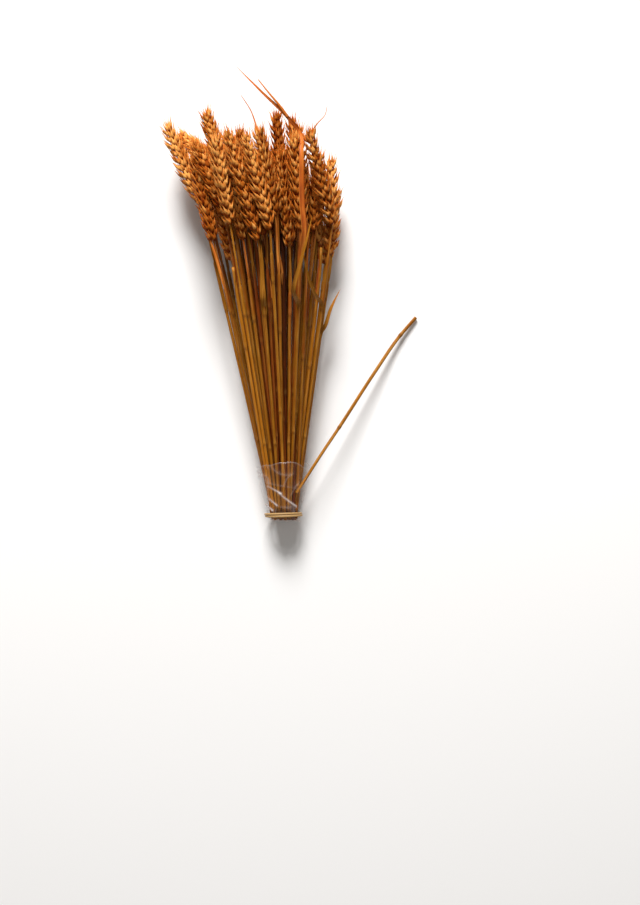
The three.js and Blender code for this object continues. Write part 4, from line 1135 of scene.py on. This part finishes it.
class WHEAT_OT_stalks(bpy.types.Operator):
    """Build the grown stalks, each with its straw, ear, leaves and awns"""

    bl_idname = "wheat.stalks"
    bl_label = "Grown Stalks"

    def execute(self, context):
        scene = context.scene
        ears, leaves = scene.wheat_ears, scene.wheat_leaves
        finishes = chaff_material(ears), straw_material(scene.wheat_straws, "straw"), leaf_material(leaves)
        layout = Layout()
        stalks = grow_stalks(layout)
        for stalk in stalks:
            shape = Surfaces()
            if not stalk.bare:
                self.add_ear(shape, stalk, ears)
            self.add_culm(shape, stalk)
            if stalk.random.random() < leaves.share:
                self.add_blade(shape, stalk, leaves)
            for leaf in LEAVES:
                if leaf[0] == stalk.number:
                    way = leaf_way(layout, stalks, leaf)
                    self.add_leaf(shape, way, leaf[2], leaf[3], leaves)
                    if leaf == LEAVES[0]:
                        self.add_strand(shape, [way[TORN_AFTER], *TORN_STRIP], TORN_WIDTH)
            for number, width, way in AWNS:
                if number == stalk.number:
                    self.add_strand(shape, [stalk.line(stalk.tip[1] - AWN_ROOT)[0], *way], width)
            number = stalk.number - len(stalks) + len(BARE_STRAWS)
            node = f"bare_straw_{number}" if stalk.bare else f"stalk_{stalk.number:02d}"
            place_piece(shape, node, "straw" if stalk.bare else "wheat", *finishes)
        return {"FINISHED"}

    def add_ear(self, shape, stalk, ears):
        """The scales of an ear, each drawn out into its awn. An awn on top of the bundle bends down a little,
        to be no more than AWN_RISE over the solids."""
        *scales, awns, tints = spikelet_scales(stalk, ears)
        root, direction, back, length, width = scales
        point = root + direction * (length + awns)[:, None] + 0.04 * back * awns[:, None]
        point[:, 2] = np.minimum(point[:, 2], CAD_BOX[1].z / MM + AWN_RISE)
        shape.add_lofts(scale_rings(*scales), root, point, [0, *SCALE_STATIONS, 1.08], tints, CHAFF)

    def add_culm(self, shape, stalk):
        """The straw, cupped a little at its cut end and closed at its tip."""
        rings, y = culm_rings(stalk)
        place = (np.concatenate([[y[0]], y, [y[-1] + 1]]) - stalk.knot) / PLACE_UNIT
        end = stalk.line(y[-1] + (-1.2 if stalk.bare else 1))
        # Painted shade: straws deep in the bundle are darker.
        tint = stalk.tint + 0.15 - 0.7 * stalk.depth
        shape.add_lofts(rings[None], rings[:1].mean(1) + [0, 1.2, 0], end, place, tint, STRAW)

    def add_blade(self, shape, stalk, leaves):
        """A withered blade that leaves the culm at its collar and lies along it: it moves off sideways and up
        by powers of the way along it, and sways as a sine."""
        random = stalk.random
        share = np.linspace(0, 1, 40)
        length = min(random.uniform(0.5, 1) * leaves.length / MM, stalk.tip[1] - stalk.collar)
        off, lift, sway = random.normal(0, 3.2), random.uniform(*BLADE_LIFTS), random.uniform(*BLADE_SWAYS)
        path = stalk.line(stalk.collar - 2 + share * length)
        path[:, 0] += off * share**1.5 + sway * np.sin(6 * share + stalk.number) * share
        path[:, 2] += 0.8 + lift * share
        widths = random.uniform(*BLADE_WIDTHS) * (1 - share**2.5) * smooth_step(share, -0.1, 0.15) + 0.4
        twist = random.uniform(-1.6, 1.6) * share + random.uniform(-0.5, 0.5)
        rings = strip_rings(path, widths, leaves.thickness / MM, leaves.fold, twist)
        place = np.linspace(1, 5, len(path) + 2)
        finish, tint = random.choice([STRAW, STRAW, BLADE]), random.uniform(*BLADE_TINTS)
        shape.add_lofts(rings[None], path[:1], path[-1:] + [0, 0.8, 0], place, tint, finish)

    def add_leaf(self, shape, way, width, finish, leaves):
        """A blade along its way: as wide as width (1 - share^LEAF_TAPER) and LEAF_TIP, folded, and slightly
        twisted as a sine."""
        path = smooth_path(way, 70)
        share = np.linspace(0, 1, 70)
        widths = width * (1 - share**LEAF_TAPER) * smooth_step(share, -0.12, 0.12)
        widths = widths + LEAF_TIP * (1 - 0.5 * share)
        twist = 0.5 * np.sin(5 * share + width) * smooth_step(share, 0.1, 0.5)
        rings = strip_rings(path, widths, leaves.thickness / MM, leaves.fold, twist)
        place = 1 + np.array([0, *share, 1.01]) * len(way)
        tint = 0.72 if finish == STRAW else 0.5
        shape.add_lofts(rings[None], path[:1], beyond(path, 1.5), place, tint, finish)

    def add_strand(self, shape, way, width):
        """A thin strand: flat, narrowing evenly to a third of its width."""
        path = smooth_path(way, 36)
        share = np.linspace(1, 0.35, 36)
        rings = tube_rings(path, 8, 0.25 * width * share, 0.5 * width * share)
        shape.add_lofts(rings[None], path[:1], beyond(path, 1), np.zeros(len(path) + 2), 0.6, BLADE)


class WHEAT_OT_straw(bpy.types.Operator):
    """Build the broken straw that sticks out at the right"""

    bl_idname = "wheat.straw"
    bl_label = "Broken Straw"

    def execute(self, context):
        path = smooth_path(STRAW_WAY, 150)
        y = path[:, 1]
        radius = STRAW_RADIUS * (0.9 + 0.1 * smooth_step(y, 21, 60))
        radius = radius + sum(0.4 * bump(y, knot, 1.4) for knot in STRAW_KNOTS)
        radius = radius + 0.15 * smooth_step(y, STRAW_KNOTS[0], STRAW_KNOTS[0] + 3)
        place = (y - np.where(y < np.mean(STRAW_KNOTS), *STRAW_KNOTS)) / PLACE_UNIT
        shape = Surfaces()
        ends = path[:1] + [1, 1.5, 0], beyond(path, -1.4)
        place = [place[0], *place, place[-1]]
        shape.add_lofts(tube_rings(path, 14, radius, radius)[None], *ends, place, 0.6, 0)
        material = straw_material(context.scene.wheat_straws, "broken_straw")
        place_piece(shape, "broken_straw", "straw", material)
        return {"FINISHED"}


class WHEAT_OT_film(bpy.types.Operator):
    """Build the clear film sleeve"""

    bl_idname = "wheat.film"
    bl_label = "Film Sleeve"

    def execute(self, context):
        film = context.scene.wheat_film
        shape = Surfaces()
        shape.add_hoops(*film_hoops(film))
        piece = place_piece(shape, "film_sleeve", "clear_film", film_material(film))
        return {"FINISHED"}


class WHEAT_OT_band(bpy.types.Operator):
    """Build the rubber band round the sleeve"""

    bl_idname = "wheat.band"
    bl_label = "Rubber Band"

    def execute(self, context):
        band = context.scene.wheat_band
        shape = Surfaces()
        shape.add_hoops(band_hoops(band), np.full(BAND_HOOPS * BAND_SIDES, 0.5))
        place_piece(shape, "rubber_band", "band", rubber_material(band))
        return {"FINISHED"}


# The picture is 0.905 m high at the level of the bundle's middle, and its own middle lies over SEEN_MIDDLE
SEEN_HALF_HEIGHT, SEEN_LEVEL = 0.4525, 0.05
SEEN_MIDDLE = (0.037, 0.0625)
HALF_SENSOR = 18
BUNDLE_MIDDLE = (-0.02, 0.24, 0.04)


class WHEAT_OT_stage(bpy.types.Operator):
    """Set up the floor, the lights and the camera"""

    bl_idname = "wheat.stage"
    bl_label = "Stage"

    def execute(self, context):
        scene, stage = context.scene, context.scene.wheat_stage
        mesh = bpy.data.meshes.new("floor")
        half, under = 4, -2e-4
        square = [(-half, -half, under), (half, -half, under), (half, half, under), (-half, half, under)]
        mesh.from_pydata(square, [], [(0, 1, 2, 3)])
        mesh.materials.append(Shader("plain_floor").surface(Base_Color=stage.floor, Roughness=0.9))
        in_scene("floor", mesh)
        self.add_light("key", (-0.3, 2.8, 1.8), 1.3, stage.key_power)
        self.add_light("fill", (0.25, -0.2, 1.9), 1.6, stage.fill_power)
        scene.world = bpy.data.worlds.new("studio")
        scene.world.use_nodes = True
        sky = scene.world.node_tree.nodes["Background"].inputs
        sky["Color"].default_value, sky["Strength"].default_value = (1, 0.94, 0.87, 1), 0.18
        scene.view_settings.view_transform = "Standard"
        camera = bpy.data.cameras.new("camera")
        camera.lens = HALF_SENSOR * (stage.distance - SEEN_LEVEL) / SEEN_HALF_HEIGHT
        camera.clip_end = 20
        scene.camera = in_scene("camera", camera)
        scene.camera.location = (*SEEN_MIDDLE, stage.distance)
        return {"FINISHED"}

    def add_light(self, name, place, size, power):
        """A round soft lamp that is turned towards the middle of the bundle."""
        light = bpy.data.lights.new(name, "AREA")
        light.shape, light.size, light.energy = "DISK", size, power
        lamp = in_scene(name, light)
        lamp.location = place
        lamp.rotation_euler = (Vector(BUNDLE_MIDDLE) - Vector(place)).to_track_quat("-Z", "Y").to_euler()


class WHEAT_PT_panel(bpy.types.Panel):
    bl_label = "Dried Wheat"
    bl_idname = "WHEAT_PT_panel"
    bl_space_type = "VIEW_3D"
    bl_region_type = "UI"
    bl_category = "Wheat"

    def draw(self, context):
        for name, (settings, operator) in SETTINGS.items():
            box = self.layout.box()
            for value in settings.__annotations__:
                box.prop(getattr(context.scene, name), value)
            if operator:
                box.operator(operator)


# The settings of the scene, and the operator that each is shown with
SETTINGS = {
    "wheat_ears": (EarSettings, None),
    "wheat_leaves": (LeafSettings, "wheat.stalks"),
    "wheat_straws": (StrawSettings, "wheat.straw"),
    "wheat_film": (FilmSettings, "wheat.film"),
    "wheat_band": (BandSettings, "wheat.band"),
    "wheat_stage": (StageSettings, "wheat.stage"),
}
CLASSES = [WHEAT_OT_stage, WHEAT_OT_stalks, WHEAT_OT_straw, WHEAT_OT_film, WHEAT_OT_band, WHEAT_PT_panel]


def register():
    for name, (settings, _) in SETTINGS.items():
        bpy.utils.register_class(settings)
        setattr(bpy.types.Scene, name, PointerProperty(type=settings))
    for kind in CLASSES:
        bpy.utils.register_class(kind)


def unregister():
    for kind in reversed(CLASSES):
        bpy.utils.unregister_class(kind)
    for name, (settings, _) in SETTINGS.items():
        delattr(bpy.types.Scene, name)
        bpy.utils.unregister_class(settings)


def main():
    register()
    bpy.ops.wheat.stage()
    bpy.ops.wheat.stalks()
    bpy.ops.wheat.straw()
    bpy.ops.wheat.film()
    bpy.ops.wheat.band()
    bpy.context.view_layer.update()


if __name__ == "__main__":
    main()
